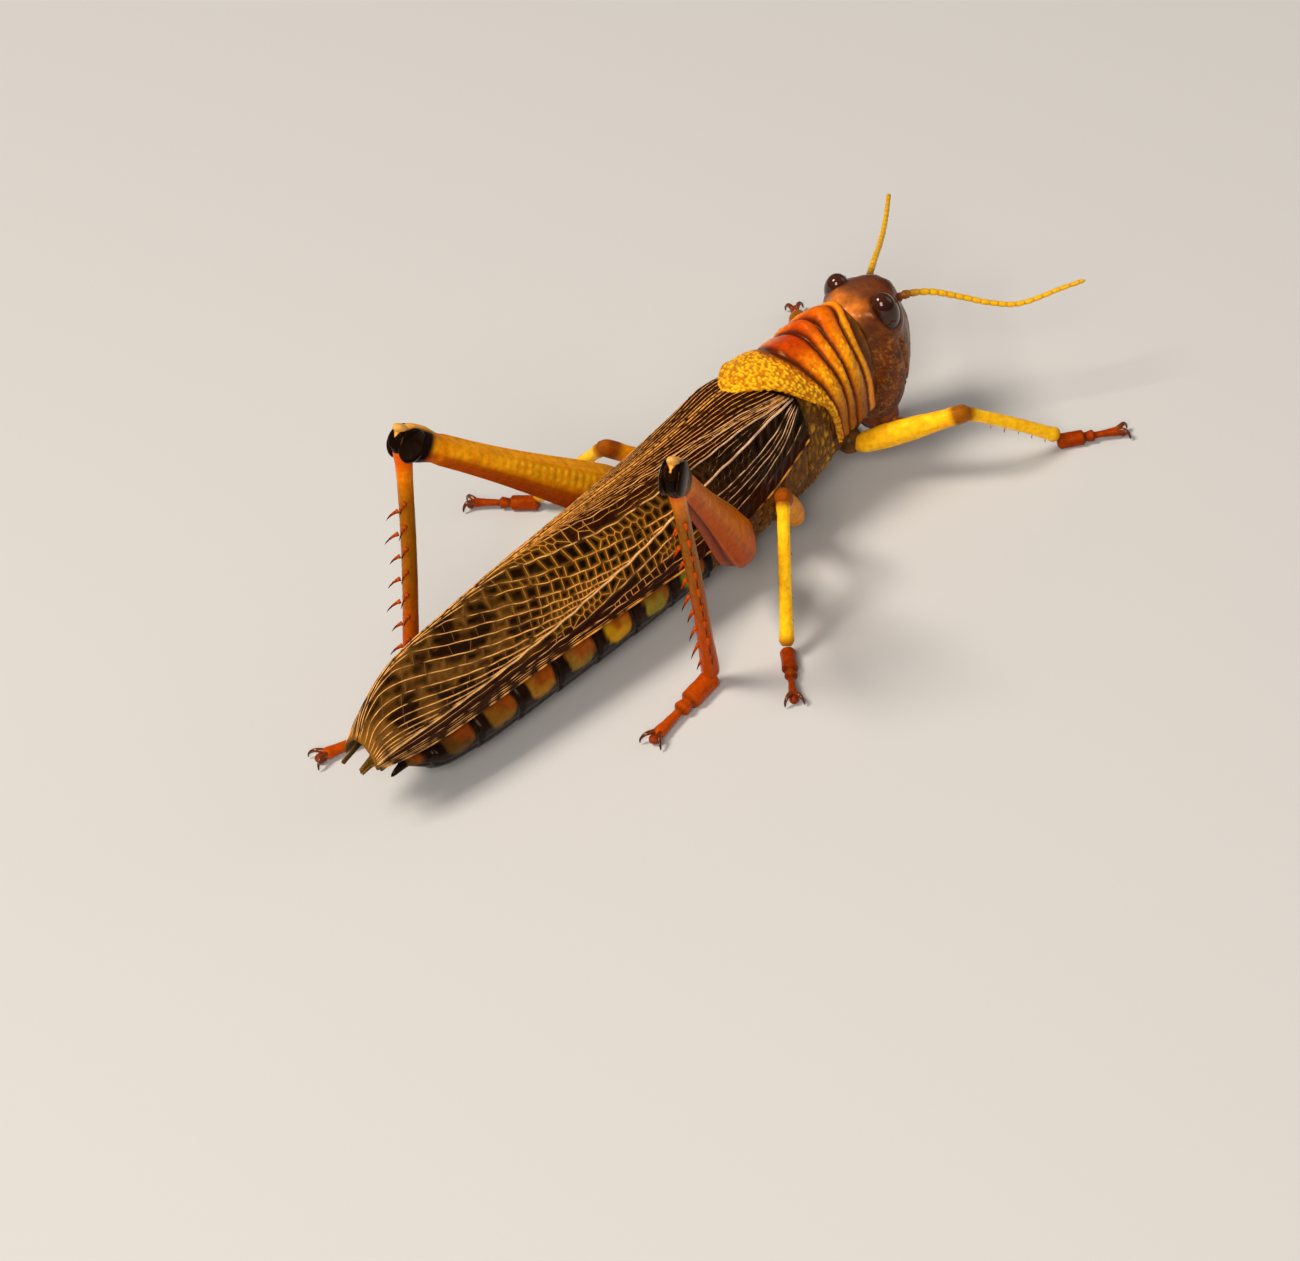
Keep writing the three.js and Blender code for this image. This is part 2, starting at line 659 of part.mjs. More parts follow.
// Joints of each leg, as it stands: hip, knee, ankle and the way its toes point.
const legs = [
  { label: "front_left", sign: 1, form: frontLeg, hip: [-9.5, 5.2, -14.8], knee: [1.2, 13.4, -8.6],
    ankle: [8.6, 21.2], toes: [0.66, 0.75] },
  { label: "front_right", sign: -1, form: frontLeg, hip: [-9.5, -5.2, -14.8], knee: [-0.8, -16.6, -10.4],
    ankle: [11.1, -20.9], toes: [0.77, -0.64] },
  { label: "middle_left", sign: 1, form: middleLeg, hip: [-22.5, 6.4, -17.6], knee: [-35.1, 13.2, -6.9],
    ankle: [-36.4, 26.3], toes: [-0.56, 0.83] },
  { label: "middle_right", sign: -1, form: middleLeg, hip: [-22.5, -6.4, -17.6], knee: [-31.9, -14.6, -4.7],
    ankle: [-40.4, -20.8], toes: [-0.68, -0.73] },
  { label: "hind_left", sign: 1, form: hindLeg, hip: [-34.0, 8.8, -14.6], knee: [-68.2, 10.8, 16.0],
    ankle: [-76.5, 8.8], toes: [-0.93, 0.33] },
  { label: "hind_right", sign: -1, form: hindLeg, hip: [-34.0, -8.8, -14.6], knee: [-57.8, -24.4, 19.4],
    ankle: [-49.6, -16.6], toes: [-0.99, -0.15] },
];

function legJoints(leg) {
  const hip = vector(leg.hip);
  const knee = vector(leg.knee);
  const ankle = new THREE.Vector3(leg.ankle[0], leg.ankle[1], floorLevel + ankleHeight);
  const thigh = knee.clone().sub(hip);
  const across = new THREE.Vector3().crossVectors(thigh, ankle.clone().sub(knee)).normalize();
  return { hip, knee, ankle, across };
}

function coxaForm(leg, grow = 0) {
  return ellipsoid(vector(leg.hip), vector(leg.form.coxaRadii), grow, 10);
}

function femurForm(leg, grow = 0) {
  const { hip, knee, across } = legJoints(leg);
  const isHind = leg.form === hindLeg;
  const shape = { from: hip, to: knee, across, rows: leg.form.femur, sides: isHind ? 12 : 10 };
  return limb({ ...shape, keel: isHind ? 0.1 : 0 }, grow);
}

function tibiaForm(leg, grow = 0) {
  const { knee, ankle, across } = legJoints(leg);
  const shape = { from: knee, to: ankle, across, rows: leg.form.tibia, sides: 7 };
  return limb({ ...shape, bow: leg.form.bow }, grow);
}

// Two rows of spines down the back of the shin, and spurs at its end.
function tibiaSpines(leg) {
  const { knee, ankle, across } = legJoints(leg);
  const shin = ankle.clone().sub(knee);
  const behind = new THREE.Vector3().crossVectors(shin.clone().normalize(), across).normalize();
  const outward = leg.form === hindLeg ? 1 : -1;
  const spines = [];
  for (const edge of [-1, 1]) {
    for (let i = 0; i < leg.form.spineRows; i += 1) {
      const place = THREE.MathUtils.lerp(0.3, 0.95, (i + (edge > 0 ? 0 : 0.45)) / leg.form.spineRows);
      const rise = leg.form.spineLength * (0.85 + 0.15 * Math.sin(i * 2.1));
      const root = knee.clone().addScaledVector(shin, place).addScaledVector(across, edge * 0.45);
      const tip = root.clone()
        .addScaledVector(behind, outward * (0.9 + rise * 0.8))
        .addScaledVector(across, edge * rise * 0.35)
        .addScaledVector(shin.clone().normalize(), rise * 0.55);
      spines.push(spine(root, tip, leg.form.spineLength * 0.2));
    }
  }
  return spines;
}

// Three-jointed foot with flat soles on the floor, a round pad and two curved claws.
function tarsusForm(leg) {
  const { ankle } = legJoints(leg);
  const forward = new THREE.Vector3(leg.toes[0], leg.toes[1], 0).normalize();
  const across = new THREE.Vector3(-forward.y, forward.x, 0);
  const ground = new THREE.Vector3(ankle.x, ankle.y, floorLevel);
  const length = leg.form.tarsusLength;
  const w = leg.form.tarsusWidth;
  const at = (share, out, up) => ground.clone()
    .addScaledVector(forward, share * length)
    .addScaledVector(across, out)
    .add(new THREE.Vector3(0, 0, up));
  const joint = (start, end, upStart, upEnd, rows) => limb({
    from: at(start, 0, upStart), to: at(end, 0, upEnd), across, rows, sides: 6,
  });
  const foot = joint(-0.02, 0.9, 0.85 * w, 1.0, [[0, 0.6 * w, 0.6 * w], [0.05, w, w], [0.2, w, 0.95 * w],
    [0.4, 0.95 * w, w], [0.44, 0.6 * w, 0.6 * w], [0.56, 0.75 * w, 0.8 * w], [0.6, 0.42 * w, 0.42 * w],
    [0.85, 0.52 * w, 0.52 * w], [0.95, 0.6 * w, 0.62 * w], [1, 0.4 * w, 0.4 * w]]);
  const pad = ellipsoid(at(0.9, 0, 0.55), new THREE.Vector3(0.85 * w, 0.85 * w, 0.7), 0, 8);
  const claws = [-1, 1].map((edge) => {
    const route = [
      at(0.86, edge * 0.2, 1.2),
      at(0.94, edge * 0.8 * w, 1.4),
      at(1.0, edge * 1.15 * w, 0.35),
    ];
    return tubeAlong(new THREE.CatmullRomCurve3(route), [0.36, 0.34, 0.26, 0.08], 4);
  });
  const above = new THREE.BoxGeometry(40, 40, 40);
  above.translate(ground.x, ground.y, floorLevel + 20);
  return joined([foot, pad, ...claws]).intersect(toSolid(above));
}

const thoraxGrown = thoraxForm(gap);
const prothoraxGrown = prothoraxForm(gap);
const abdomenGrown = abdomenForm(gap);
const bodyGrown = [thoraxGrown, prothoraxGrown, abdomenGrown, ...grownWings, plateForm(gap)];

locust.add(piece("thorax", thorax, skin.thorax, 0.6));

for (const leg of legs) {
  const coxa = without(coxaForm(leg), bodyGrown);
  const femur = without(femurForm(leg), [...bodyGrown, coxaForm(leg, gap)]);
  const shin = joined([tibiaForm(leg), ...tibiaSpines(leg)]);
  const tibia = without(shin, [femurForm(leg, gap)]);
  const tarsus = without(tarsusForm(leg), [tibiaForm(leg, gap)]);
  const isHind = leg.form === hindLeg;
  locust.add(piece(`coxa_${leg.label}`, coxa, skin.coxa, 0.5));
  locust.add(piece(`femur_${leg.label}`, femur, isHind ? skin.hindFemur : skin.femur, 0.4));
  locust.add(piece(`tibia_${leg.label}`, tibia, isHind ? skin.hindTibia : skin.tibia, 0.35));
  locust.add(piece(`tarsus_${leg.label}`, tarsus, skin.tarsus, 0.35));
}

locust.position.set(-centreX, -centreY, eyeHeight);

export default locust;
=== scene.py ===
import math
import random
from functools import partial

import bmesh
import bpy
from mathutils import Matrix, Vector, geometry, kdtree, noise


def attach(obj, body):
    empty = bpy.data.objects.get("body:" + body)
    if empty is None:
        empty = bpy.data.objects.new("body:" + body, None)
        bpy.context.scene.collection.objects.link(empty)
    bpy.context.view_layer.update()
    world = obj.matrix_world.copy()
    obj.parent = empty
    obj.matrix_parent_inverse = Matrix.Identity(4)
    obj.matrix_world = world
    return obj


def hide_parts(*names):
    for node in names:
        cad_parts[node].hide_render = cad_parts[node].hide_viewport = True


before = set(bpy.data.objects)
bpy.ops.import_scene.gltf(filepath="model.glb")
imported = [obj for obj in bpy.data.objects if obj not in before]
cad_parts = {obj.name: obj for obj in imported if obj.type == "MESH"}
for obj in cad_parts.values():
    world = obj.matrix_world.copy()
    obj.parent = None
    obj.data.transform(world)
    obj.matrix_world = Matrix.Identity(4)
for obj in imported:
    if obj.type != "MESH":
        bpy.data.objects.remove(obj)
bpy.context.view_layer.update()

# ---------------------------------------------------------------- floor, lights and camera
# A plain pale floor of painted board stands under the six feet. Two broad soft lamps, overhead
# and behind the camera, and a weak one from the front right light it, and a long lens looks down
# on the insect from behind its right side.


def linear(hex_colour):
    """An sRGB hex colour as linear red, green, blue and alpha."""
    parts = [int(hex_colour[i:i + 2], 16) / 255 for i in (1, 3, 5)]
    return [p / 12.92 if p <= 0.04045 else ((p + 0.055) / 1.055) ** 2.4 for p in parts] + [1.0]


def add(tree, kind, settings=None, sockets=None):
    """Adds a node with its settings; a socket given an output is linked, any other is set."""
    node = tree.nodes.new(kind)
    for name, value in (settings or {}).items():
        setattr(node, name, value)
    for name, value in (sockets or {}).items():
        if isinstance(value, bpy.types.NodeSocket):
            tree.links.new(value, node.inputs[name])
        else:
            node.inputs[name].default_value = value
    return node


def new_material(name):
    """An empty node material and its tree."""
    material = bpy.data.materials.new(name)
    material.use_nodes = True
    tree = material.node_tree
    tree.nodes.clear()
    return material, tree


def mesh_object(name, bm, material, smooth=True):
    """Turns a bmesh into an object in the scene, its place already in its mesh."""
    mesh = bpy.data.meshes.new(name)
    bm.to_mesh(mesh)
    bm.free()
    mesh.polygons.foreach_set("use_smooth", [smooth] * len(mesh.polygons))
    mesh.materials.append(material)
    thing = bpy.data.objects.new(name, mesh)
    bpy.context.scene.collection.objects.link(thing)
    return thing


# Matt painted board: even and pale, without a pattern of its own.
FLOOR_HALF = 6.0      # metres from its middle to its edge, so that its edge stays out of sight
floor_paint, tree = new_material("matt_painted_board")
skin = add(tree, "ShaderNodeBsdfPrincipled", None, {
    "Base Color": linear("#c6c7ca"), "Roughness": 0.85})
add(tree, "ShaderNodeOutputMaterial", None, {"Surface": skin.outputs["BSDF"]})

bm = bmesh.new()
bmesh.ops.create_grid(bm, x_segments=2, y_segments=2, size=FLOOR_HALF)
floor = mesh_object("floor", bm, floor_paint, smooth=False)


AIM = Vector((0, 0, 0.02))     # the middle of the insect, which the lamps face


def soft_lamp(name, place, width, power, tint):
    """A square area lamp that faces the insect; its place and width are in metres."""
    lamp = bpy.data.lights.new(name, "AREA")
    lamp.shape = "SQUARE"
    lamp.size = width
    lamp.energy = power
    lamp.color = linear(tint)[:3]
    holder = bpy.data.objects.new(name, lamp)
    holder.location = place
    holder.rotation_euler = (AIM - Vector(place)).to_track_quat("-Z", "Y").to_euler()
    bpy.context.scene.collection.objects.link(holder)


soft_lamp("lamp_overhead", (-0.60, 0.30, 1.08), 0.40, 15.0, "#fff2e0")
soft_lamp("lamp_behind_camera", (-1.00, -0.80, 0.96), 0.60, 16.0, "#fff4e4")
soft_lamp("lamp_right", (1.10, -0.60, 0.60), 0.70, 1.6, "#fff6ea")

world = bpy.data.worlds.new("studio")
world.use_nodes = True
world.node_tree.nodes["Background"].inputs["Color"].default_value = linear("#e9ecef")
world.node_tree.nodes["Background"].inputs["Strength"].default_value = 0.16
bpy.context.scene.world = world

lens = bpy.data.cameras.new("camera")
lens.sensor_width = 36.0
lens.lens = 138.46      # millimetres: a narrow view from far off
lens.clip_start = 0.01
camera = bpy.data.objects.new("camera", lens)
# In columns: the directions to the camera's right, up and back, and where it stands in metres.
camera.matrix_world = Matrix((
    (0.68272, 0.51979, -0.51354, -0.32993),
    (-0.72012, 0.35958, -0.59341, -0.37368),
    (-0.12379, 0.77494, 0.61980, 0.38401),
    (0.0, 0.0, 0.0, 1.0),
))
bpy.context.scene.collection.objects.link(camera)
bpy.context.scene.camera = camera
# The pigments are mixed for the plain view transform, which shows a colour as it is given.
bpy.context.scene.view_settings.view_transform = "Standard"

# ---------------------------------------------------------------- head capsule
# The head is one hard, smooth case of dark red-brown cuticle, orange behind the crown, where
# a painted highlight brightens that orange. Ridges run down its face, and a raised rim holds
# each eye.

MM = 0.001
EYE_HEIGHT = 21.5     # the eyes stand this far above the floor, in millimetres
MIDDLE = (-34.57, 3.15)   # middle of the insect's length and width, from between the eyes


def at(x, y, z):
    """A place in metres, from millimetres forward, left and up from between the eyes."""
    return Vector((x - MIDDLE[0], y - MIDDLE[1], z + EYE_HEIGHT)) * MM


def between(table, place):
    """Reads a short table of stations smoothly at any place between them."""
    order = 1 if table[-1][0] > table[0][0] else -1
    i = 0
    while i < len(table) - 2 and (place - table[i + 1][0]) * order > 0:
        i += 1
    a, b = table[i], table[i + 1]
    span = b[0] - a[0]
    t = min(1.0, max(0.0, (place - a[0]) / span))
    before = table[i - 1] if i > 0 else a
    after = table[i + 2] if i + 2 < len(table) else b
    out = []
    for k in range(1, len(a)):
        chord = (b[k] - a[k]) / span
        left = (b[k] - before[k]) / (b[0] - before[0])
        right = (after[k] - a[k]) / (after[0] - a[0])
        left = 0.0 if left * chord <= 0 else math.copysign(min(abs(left), 3 * abs(chord)), chord)
        right = 0.0 if right * chord <= 0 else math.copysign(min(abs(right), 3 * abs(chord)), chord)
        rise = t * t * (3 - 2 * t)
        out.append(a[k] + (b[k] - a[k]) * rise + span * t * (1 - t) * ((1 - t) * left - t * right))
    return out


def step(low, high, value):
    """A smooth rise from 0 at low to 1 at high."""
    t = min(1.0, max(0.0, (value - low) / (high - low)))
    return t * t * (3 - 2 * t)


def power(value, exponent):
    """A signed power, for sections between a circle and a square."""
    return math.copysign(abs(value) ** exponent, value)


def ridge(distance, width):
    """A rounded bump, 1 on its crest."""
    return math.exp(-(distance / width) ** 2)


def mixed(a, b, share):
    """Two linear colours mixed."""
    share = min(1.0, max(0.0, share))
    return [p + (q - p) * share for p, q in zip(a, b)]


def grid_skin(name, columns, rows, place, paint, material):
    """A sheet shaped and coloured by its share across, u, and its share along, v. place gives a
    point in millimetres and then whatever paint asks for besides. Where the sheet's sides or
    ends meet they are sewn together, so a rolled sheet becomes a closed skin."""
    bm = bmesh.new()
    uv = bm.loops.layers.uv.new("Skin")
    tint = bm.verts.layers.float_color.new("Paint")
    bmesh.ops.create_grid(bm, x_segments=columns, y_segments=rows, size=0.5)
    for face in bm.faces:
        for loop in face.loops:
            loop[uv].uv = (loop.vert.co.x + 0.5, loop.vert.co.y + 0.5)
    for vert in bm.verts:
        u, v = vert.co.x + 0.5, vert.co.y + 0.5
        point, *more = place(u, v)
        vert.co = at(*point)
        vert[tint] = paint(u, v, point, *more)
    bmesh.ops.remove_doubles(bm, verts=bm.verts, dist=1e-6)
    bmesh.ops.dissolve_degenerate(bm, edges=bm.edges, dist=1e-7)
    bmesh.ops.recalc_face_normals(bm, faces=bm.faces)
    return mesh_object(name, bm, material)


def stand_in(piece, slot, *nodes):
    """The piece is hung on the root and stands for these parts of the solid model, which are
    hidden; slot is not used.
    """
    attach(piece, "root")
    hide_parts(*nodes)


def cuticle(name, roughness, coat=0.0, grain_mm=0.25, bump=0.25, spread=0.25, sheen="#ffd8a8",
            ior=1.35):
    """Insect cuticle: hard horny skin coloured by pigment below a thin waxy film. The painted
    colours are broken up by mottling and a fine shagreen, and the wax gives a soft sheen that
    takes on some of the pigment's colour."""
    material, tree = new_material(name)
    paint = add(tree, "ShaderNodeAttribute", {"attribute_name": "Paint"})
    coords = add(tree, "ShaderNodeTexCoord")
    mottle = add(tree, "ShaderNodeTexNoise", None, {
        "Vector": coords.outputs["Object"], "Scale": 0.35 / (grain_mm * MM), "Detail": 4.0,
        "Roughness": 0.6})
    shade = add(tree, "ShaderNodeMapRange", None, {
        "Value": mottle.outputs["Fac"], "From Min": 0.3, "From Max": 0.7,
        "To Min": 1 - spread, "To Max": 1 + spread})
    base = add(tree, "ShaderNodeVectorMath", {"operation": "SCALE"}, {
        0: paint.outputs["Color"], "Scale": shade.outputs["Result"]})
    grain = add(tree, "ShaderNodeTexNoise", None, {
        "Vector": coords.outputs["Object"], "Scale": 1.0 / (grain_mm * MM), "Detail": 3.0})
    relief = add(tree, "ShaderNodeBump", None, {
        "Height": grain.outputs["Fac"], "Strength": bump, "Distance": grain_mm * MM * 0.3})
    depth = add(tree, "ShaderNodeRGBToBW", None, {"Color": paint.outputs["Color"]})
    rough = add(tree, "ShaderNodeMapRange", None, {
        "Value": depth.outputs["Val"], "From Min": 0.002, "From Max": 0.05,
        "To Min": roughness * 0.6, "To Max": roughness})
    skin = add(tree, "ShaderNodeBsdfPrincipled", None, {
        "Base Color": base.outputs["Vector"], "Roughness": rough.outputs["Result"], "IOR": ior,
        "Specular Tint": linear(sheen), "Coat Weight": coat, "Coat Roughness": 0.12,
        "Normal": relief.outputs["Normal"]})
    add(tree, "ShaderNodeOutputMaterial", None, {"Surface": skin.outputs["BSDF"]})
    return material


# Middle and half sizes of the left eye, and how far it leans in and back, in radians.
EYE_CENTRE = (-0.3, 4.0, 0.0)
EYE_RADII = (1.8, 1.75, 2.75)
EYE_LEAN = 0.16

# Share along, height, front, back and half the width of the head, from the crown down to the mouth.
HEAD_LEVELS = [
    (0.00, 2.25, 0.2, 0.0, 0.0),
    (0.06, 2.1, 2.0, -2.6, 1.5),
    (0.13, 1.6, 3.5, -4.3, 2.7),
    (0.21, 0.6, 4.3, -5.0, 3.7),
    (0.31, -1.2, 4.7, -5.2, 4.4),
    (0.43, -4.0, 5.0, -5.2, 5.0),
    (0.57, -7.5, 4.9, -5.2, 5.4),
    (0.70, -10.8, 4.0, -5.2, 5.3),
    (0.82, -13.4, 3.1, -5.0, 4.8),
    (0.91, -15.2, 2.3, -4.2, 4.0),
    (0.96, -15.8, 1.8, -3.2, 3.3),
    (1.00, -16.0, -0.4, -0.4, 0.0),
]


def eye_reach(point, side):
    """How far a point lies from the eye's middle, 1 on its surface."""
    offset = point - Vector((EYE_CENTRE[0], EYE_CENTRE[1] * side, EYE_CENTRE[2]))
    offset.rotate(Matrix.Rotation(EYE_LEAN, 3, "Y"))
    offset.rotate(Matrix.Rotation(-EYE_LEAN * side, 3, "X"))
    return math.sqrt(sum((offset[k] / EYE_RADII[k]) ** 2 for k in range(3)))


def head_point(u, v):
    """A point of the head, with the relief of its ridges."""
    z, front, back, wide = between(HEAD_LEVELS, v)
    angle = 2 * math.pi * u
    middle, depth = (front + back) / 2, (front - back) / 2
    point = Vector((middle + depth * power(math.cos(angle), 0.9),
                    wide * power(math.sin(angle), 0.85), z))
    out = Vector((math.cos(angle), math.sin(angle), 0.0))
    y, face = point.y, max(0.0, math.cos(angle))
    # The two keels of the face, the hollow between them and the ridge along each side of it.
    lift = 0.30 * ridge(abs(y) - 0.85, 0.28) * face * step(-12.6, -11.0, z) * step(2.0, -0.5, z)
    lift -= 0.16 * ridge(y, 0.45) * face * step(-12.6, -11.0, z)
    lift += 0.26 * ridge(abs(y) - 3.3 - 0.05 * (z + 4), 0.32) * face \
        * step(-13.0, -11.5, z) * step(-1.5, -3.5, z)
    # The seam above the lip, and the one from the eye down the side of the head.
    lift -= 0.28 * ridge(z + 12.4 - 0.03 * y * y, 0.22) * step(0.2, 0.5, face)
    lift -= 0.30 * ridge(point.x - 0.6 + 0.10 * (z + 4), 0.24) * step(-3.6, -4.6, z) \
        * (1 - face * 0.5)
    for side in (1, -1):
        reach = eye_reach(point, side)
        lift += 0.78 * ridge(reach - 0.85, 0.60) + 0.06 * ridge(reach - 1.15, 0.06)
    lift += 0.05 * noise.noise(point * 1.1) + 0.025 * noise.noise(point * 3.7)
    return (point + out * lift * min(1.0, 4 * min(v, 1 - v) + 0.05),)


MAROON, LIVER, RUST = linear("#46200c"), linear("#6c300c"), linear("#dc7c2c")
BLUSH, SHADOW = linear("#7e4a30"), linear("#180805")
AMBER, CLAY = linear("#cc8a28"), linear("#84480e")


def head_paint(u, v, point):
    x, y, z = point
    tone = mixed(MAROON, LIVER, 0.5 + 0.9 * noise.noise(point * 0.55))
    # Behind the crown: the head's own orange, brightened as a painted highlight.
    occiput = step(-0.4, -3.6, x) * step(-2.6, 0.4, z) * step(3.9, 1.8, abs(y))
    tone = mixed(tone, RUST, (0.75 + 0.5 * noise.noise(point * 0.7)) * occiput)
    crown = step(0.2, 1.3, z) * step(3.4, 1.2, abs(y)) * step(-3.6, -1.2, x)
    tone = mixed(tone, BLUSH, 0.35 * crown * step(3.0, 0.0, x))
    rear = step(-3.4, -4.8, x) * step(-3.0, -7.0, z)
    tone = mixed(tone, CLAY, 0.6 * rear)
    tone = mixed(tone, AMBER, 0.75 * step(2.2, 3.6, x) * step(-9.5, -12.0, z))
    fleck = noise.noise(point * 3.6 + Vector((7, 1, 3))) + 0.5 * noise.noise(point * 1.2)
    tone = mixed(tone, AMBER, 0.38 * step(0.0, 0.6, fleck) * step(-0.5, -4.5, z))
    for side in (1, -1):
        tone = mixed(tone, SHADOW, 0.75 * ridge(eye_reach(point, side) - 1.03, 0.08))
    tone = mixed(tone, SHADOW, 0.7 * ridge(z + 12.4 - 0.03 * y * y, 0.25) * step(1.0, 2.5, x))
    return tone


# Polished head cuticle: smooth and waxy, so the lamp draws a soft highlight along the cheek.
head_finish = cuticle("waxy_head_cuticle", 0.36, coat=0.15, grain_mm=0.30, bump=0.22, spread=0.28,
                      sheen="#ffb888")
head = grid_skin("head_capsule", 144, 140, head_point, head_paint, head_finish)
stand_in(head, "head", "head")

# Three ocelli, the small simple eyes: clear amber beads set in the face and beside the crown.
OCELLUS_RADIUS = 0.36
ocellus_finish, tree = new_material("amber_lens_cuticle")
skin = add(tree, "ShaderNodeBsdfPrincipled", None, {
    "Base Color": linear("#d9a24a"), "Roughness": 0.12, "IOR": 1.5, "Coat Weight": 0.6})
add(tree, "ShaderNodeOutputMaterial", None, {"Surface": skin.outputs["BSDF"]})
bm = bmesh.new()
for place in ((4.75, 0.0, -2.6), (3.55, 2.0, 0.35), (3.55, -2.0, 0.35)):
    bmesh.ops.create_uvsphere(bm, u_segments=14, v_segments=10, radius=OCELLUS_RADIUS * MM,
                              matrix=Matrix.Translation(at(*place)))
ocelli = mesh_object("ocelli", bm, ocellus_finish)
stand_in(ocelli, "head", "head")

# ---------------------------------------------------------------- compound eyes
# Each eye is a tall dome of many thousand lenses. They are far too fine to see singly, so it
# looks like dark polished chestnut with faint upright bands.


SIDES = (("left", 1), ("right", -1))
EYE_DARK, EYE_BROWN, EYE_LIT_TOP = linear("#0e0504"), linear("#38180c"), linear("#5a2c18")
EYE_BANDS = 18
FACET_MM = 0.09


def eye_paint(u, v, point):
    band = 0.5 + 0.5 * math.sin(2 * math.pi * u * EYE_BANDS)
    tone = mixed(EYE_DARK, EYE_BROWN, 0.35 + 0.25 * band)
    # Painted light: the top of each eye is paler as if lit, and the lower part near black as shade.
    tone = mixed(tone, EYE_LIT_TOP, 0.35 * step(0.36, 0.10, v))
    return mixed(tone, EYE_DARK, 0.85 * step(0.50, 0.78, v))


# Eye lens cuticle: clear and glassy over dark pigment. The facets, about 0.03 mm across, are
# drawn three times as coarse so that they break up the highlight a little.
eye_finish, tree = new_material("faceted_eye_lens")
paint = add(tree, "ShaderNodeAttribute", {"attribute_name": "Paint"})
coords = add(tree, "ShaderNodeTexCoord")
facets = add(tree, "ShaderNodeTexVoronoi", None, {
    "Vector": coords.outputs["Object"], "Scale": 1 / (FACET_MM * MM)})
relief = add(tree, "ShaderNodeBump", {"invert": True}, {
    "Height": facets.outputs["Distance"], "Strength": 0.07, "Distance": 0.01 * MM})
skin = add(tree, "ShaderNodeBsdfPrincipled", None, {
    "Base Color": paint.outputs["Color"], "Roughness": 0.10, "IOR": 1.36, "Coat Weight": 0.55,
    "Specular Tint": linear("#f0c8a8"), "Coat Roughness": 0.05, "Normal": relief.outputs["Normal"]})
add(tree, "ShaderNodeOutputMaterial", None, {"Surface": skin.outputs["BSDF"]})

for label, side in SIDES:
    # The top of each eye leans in and back towards the crown.
    turn = Matrix.Rotation(-EYE_LEAN, 3, "Y") @ Matrix.Rotation(EYE_LEAN * side, 3, "X")
    centre = Vector((EYE_CENTRE[0], EYE_CENTRE[1] * side, EYE_CENTRE[2]))

    def eye_point(u, v):
        polar, angle = math.pi * v, 2 * math.pi * u
        dome = Vector((EYE_RADII[0] * math.sin(polar) * math.cos(angle),
                       EYE_RADII[1] * math.sin(polar) * math.sin(angle),
                       EYE_RADII[2] * math.cos(polar)))
        return (centre + turn @ dome,)

    eye = grid_skin(f"eye_{label}_dome", 64, 40, eye_point, eye_paint, eye_finish)
    stand_in(eye, "eye", f"eye_{label}")

# ---------------------------------------------------------------- antennae
# Each feeler is a whip of about two dozen short rods on two thick base joints, brown at the
# root and yellow further out, narrowing a little at every joint.


def smooth_route(points, count):
    """Points evenly spread along a smooth curve through the given ones, in millimetres."""
    table = [[0.0, *points[0]]]
    for a, b in zip(points, points[1:]):
        table.append([table[-1][0] + (Vector(b) - Vector(a)).length, *b])
    length = table[-1][0]
    route = []
    for i in range(count + 1):
        place = length * i / count
        k = 0
        while k < len(table) - 2 and place > table[k + 1][0]:
            k += 1
        p0 = Vector(table[max(k - 1, 0)][1:])
        p1, p2 = Vector(table[k][1:]), Vector(table[k + 1][1:])
        p3 = Vector(table[min(k + 2, len(table) - 1)][1:])
        t = (place - table[k][0]) / (table[k + 1][0] - table[k][0])
        route.append(0.5 * ((2 * p1) + (p2 - p0) * t + (2 * p0 - 5 * p1 + 4 * p2 - p3) * t ** 2
                            + (3 * p1 - p0 - 3 * p2 + p3) * t ** 3))
    return route


def rod_skin(name, route, radius, sides, paint, material):
    """A round rod along a route, with a radius for each share of its length, ends closed."""
    last = len(route) - 1
    normal = (route[1] - route[0]).orthogonal().normalized()
    frames = []
    for i in range(last + 1):
        along = (route[min(i + 1, last)] - route[max(i - 1, 0)]).normalized()
        normal = (normal - along * normal.dot(along)).normalized()
        frames.append((route[i], normal.copy(), along.cross(normal)))

    def place(u, v):
        i = min(last, round(v * last))
        centre, side, up = frames[i]
        reach = radius(i / last) if 0 < i < last else 0.0
        angle = 2 * math.pi * u
        return (centre + side * reach * math.cos(angle) + up * reach * math.sin(angle),)

    return grid_skin(name, sides, last, place, paint, material)


def joint_ring(share, joints, width):
    """A rounded bump, 1 high, at every joint of an evenly jointed rod."""
    joint = (share * joints) % 1.0
    return ridge(joint, width) + ridge(joint - 1, width)


FEELER_RODS = 23
FEELER_RINGS = 8          # rings modelled on each rod
ANTENNA_ROUTES = {
    "left": [(2.4, 1.8, -1.8), (4.4, 3.0, -0.6), (8.4, 5.6, -0.9), (13.5, 9.3, -2.6),
             (18.8, 13.2, -3.6), (24.0, 17.2, -3.9)],
    "right": [(2.4, -1.8, -1.8), (4.2, -3.0, -0.6), (7.1, -5.0, -1.0), (10.4, -7.2, -2.9),
              (13.0, -9.6, -4.4), (16.1, -12.0, -5.4), (20.7, -15.0, -4.6), (23.2, -17.0, -4.0)],
}


def feeler_radius(share):
    waist = 1 - 0.26 * joint_ring(share, FEELER_RODS, 0.12)
    base = 0.42 * step(0.085, 0.03, share) + 0.12 * step(0.16, 0.10, share)
    return (0.47 - 0.17 * share + base) * waist * min(1.0, (1.001 - share) * 30)


FEELER_ROOT, FEELER_GOLD, FEELER_TIP = linear("#6a300c"), linear("#eab014"), linear("#dca20e")


def feeler_paint(u, v, point):
    tone = mixed(FEELER_ROOT, FEELER_GOLD, step(0.08, 0.24, v))
    tone = mixed(tone, FEELER_TIP, step(0.7, 1.0, v))
    return mixed(tone, FEELER_ROOT, 0.45 * joint_ring(v, FEELER_RODS, 0.10))


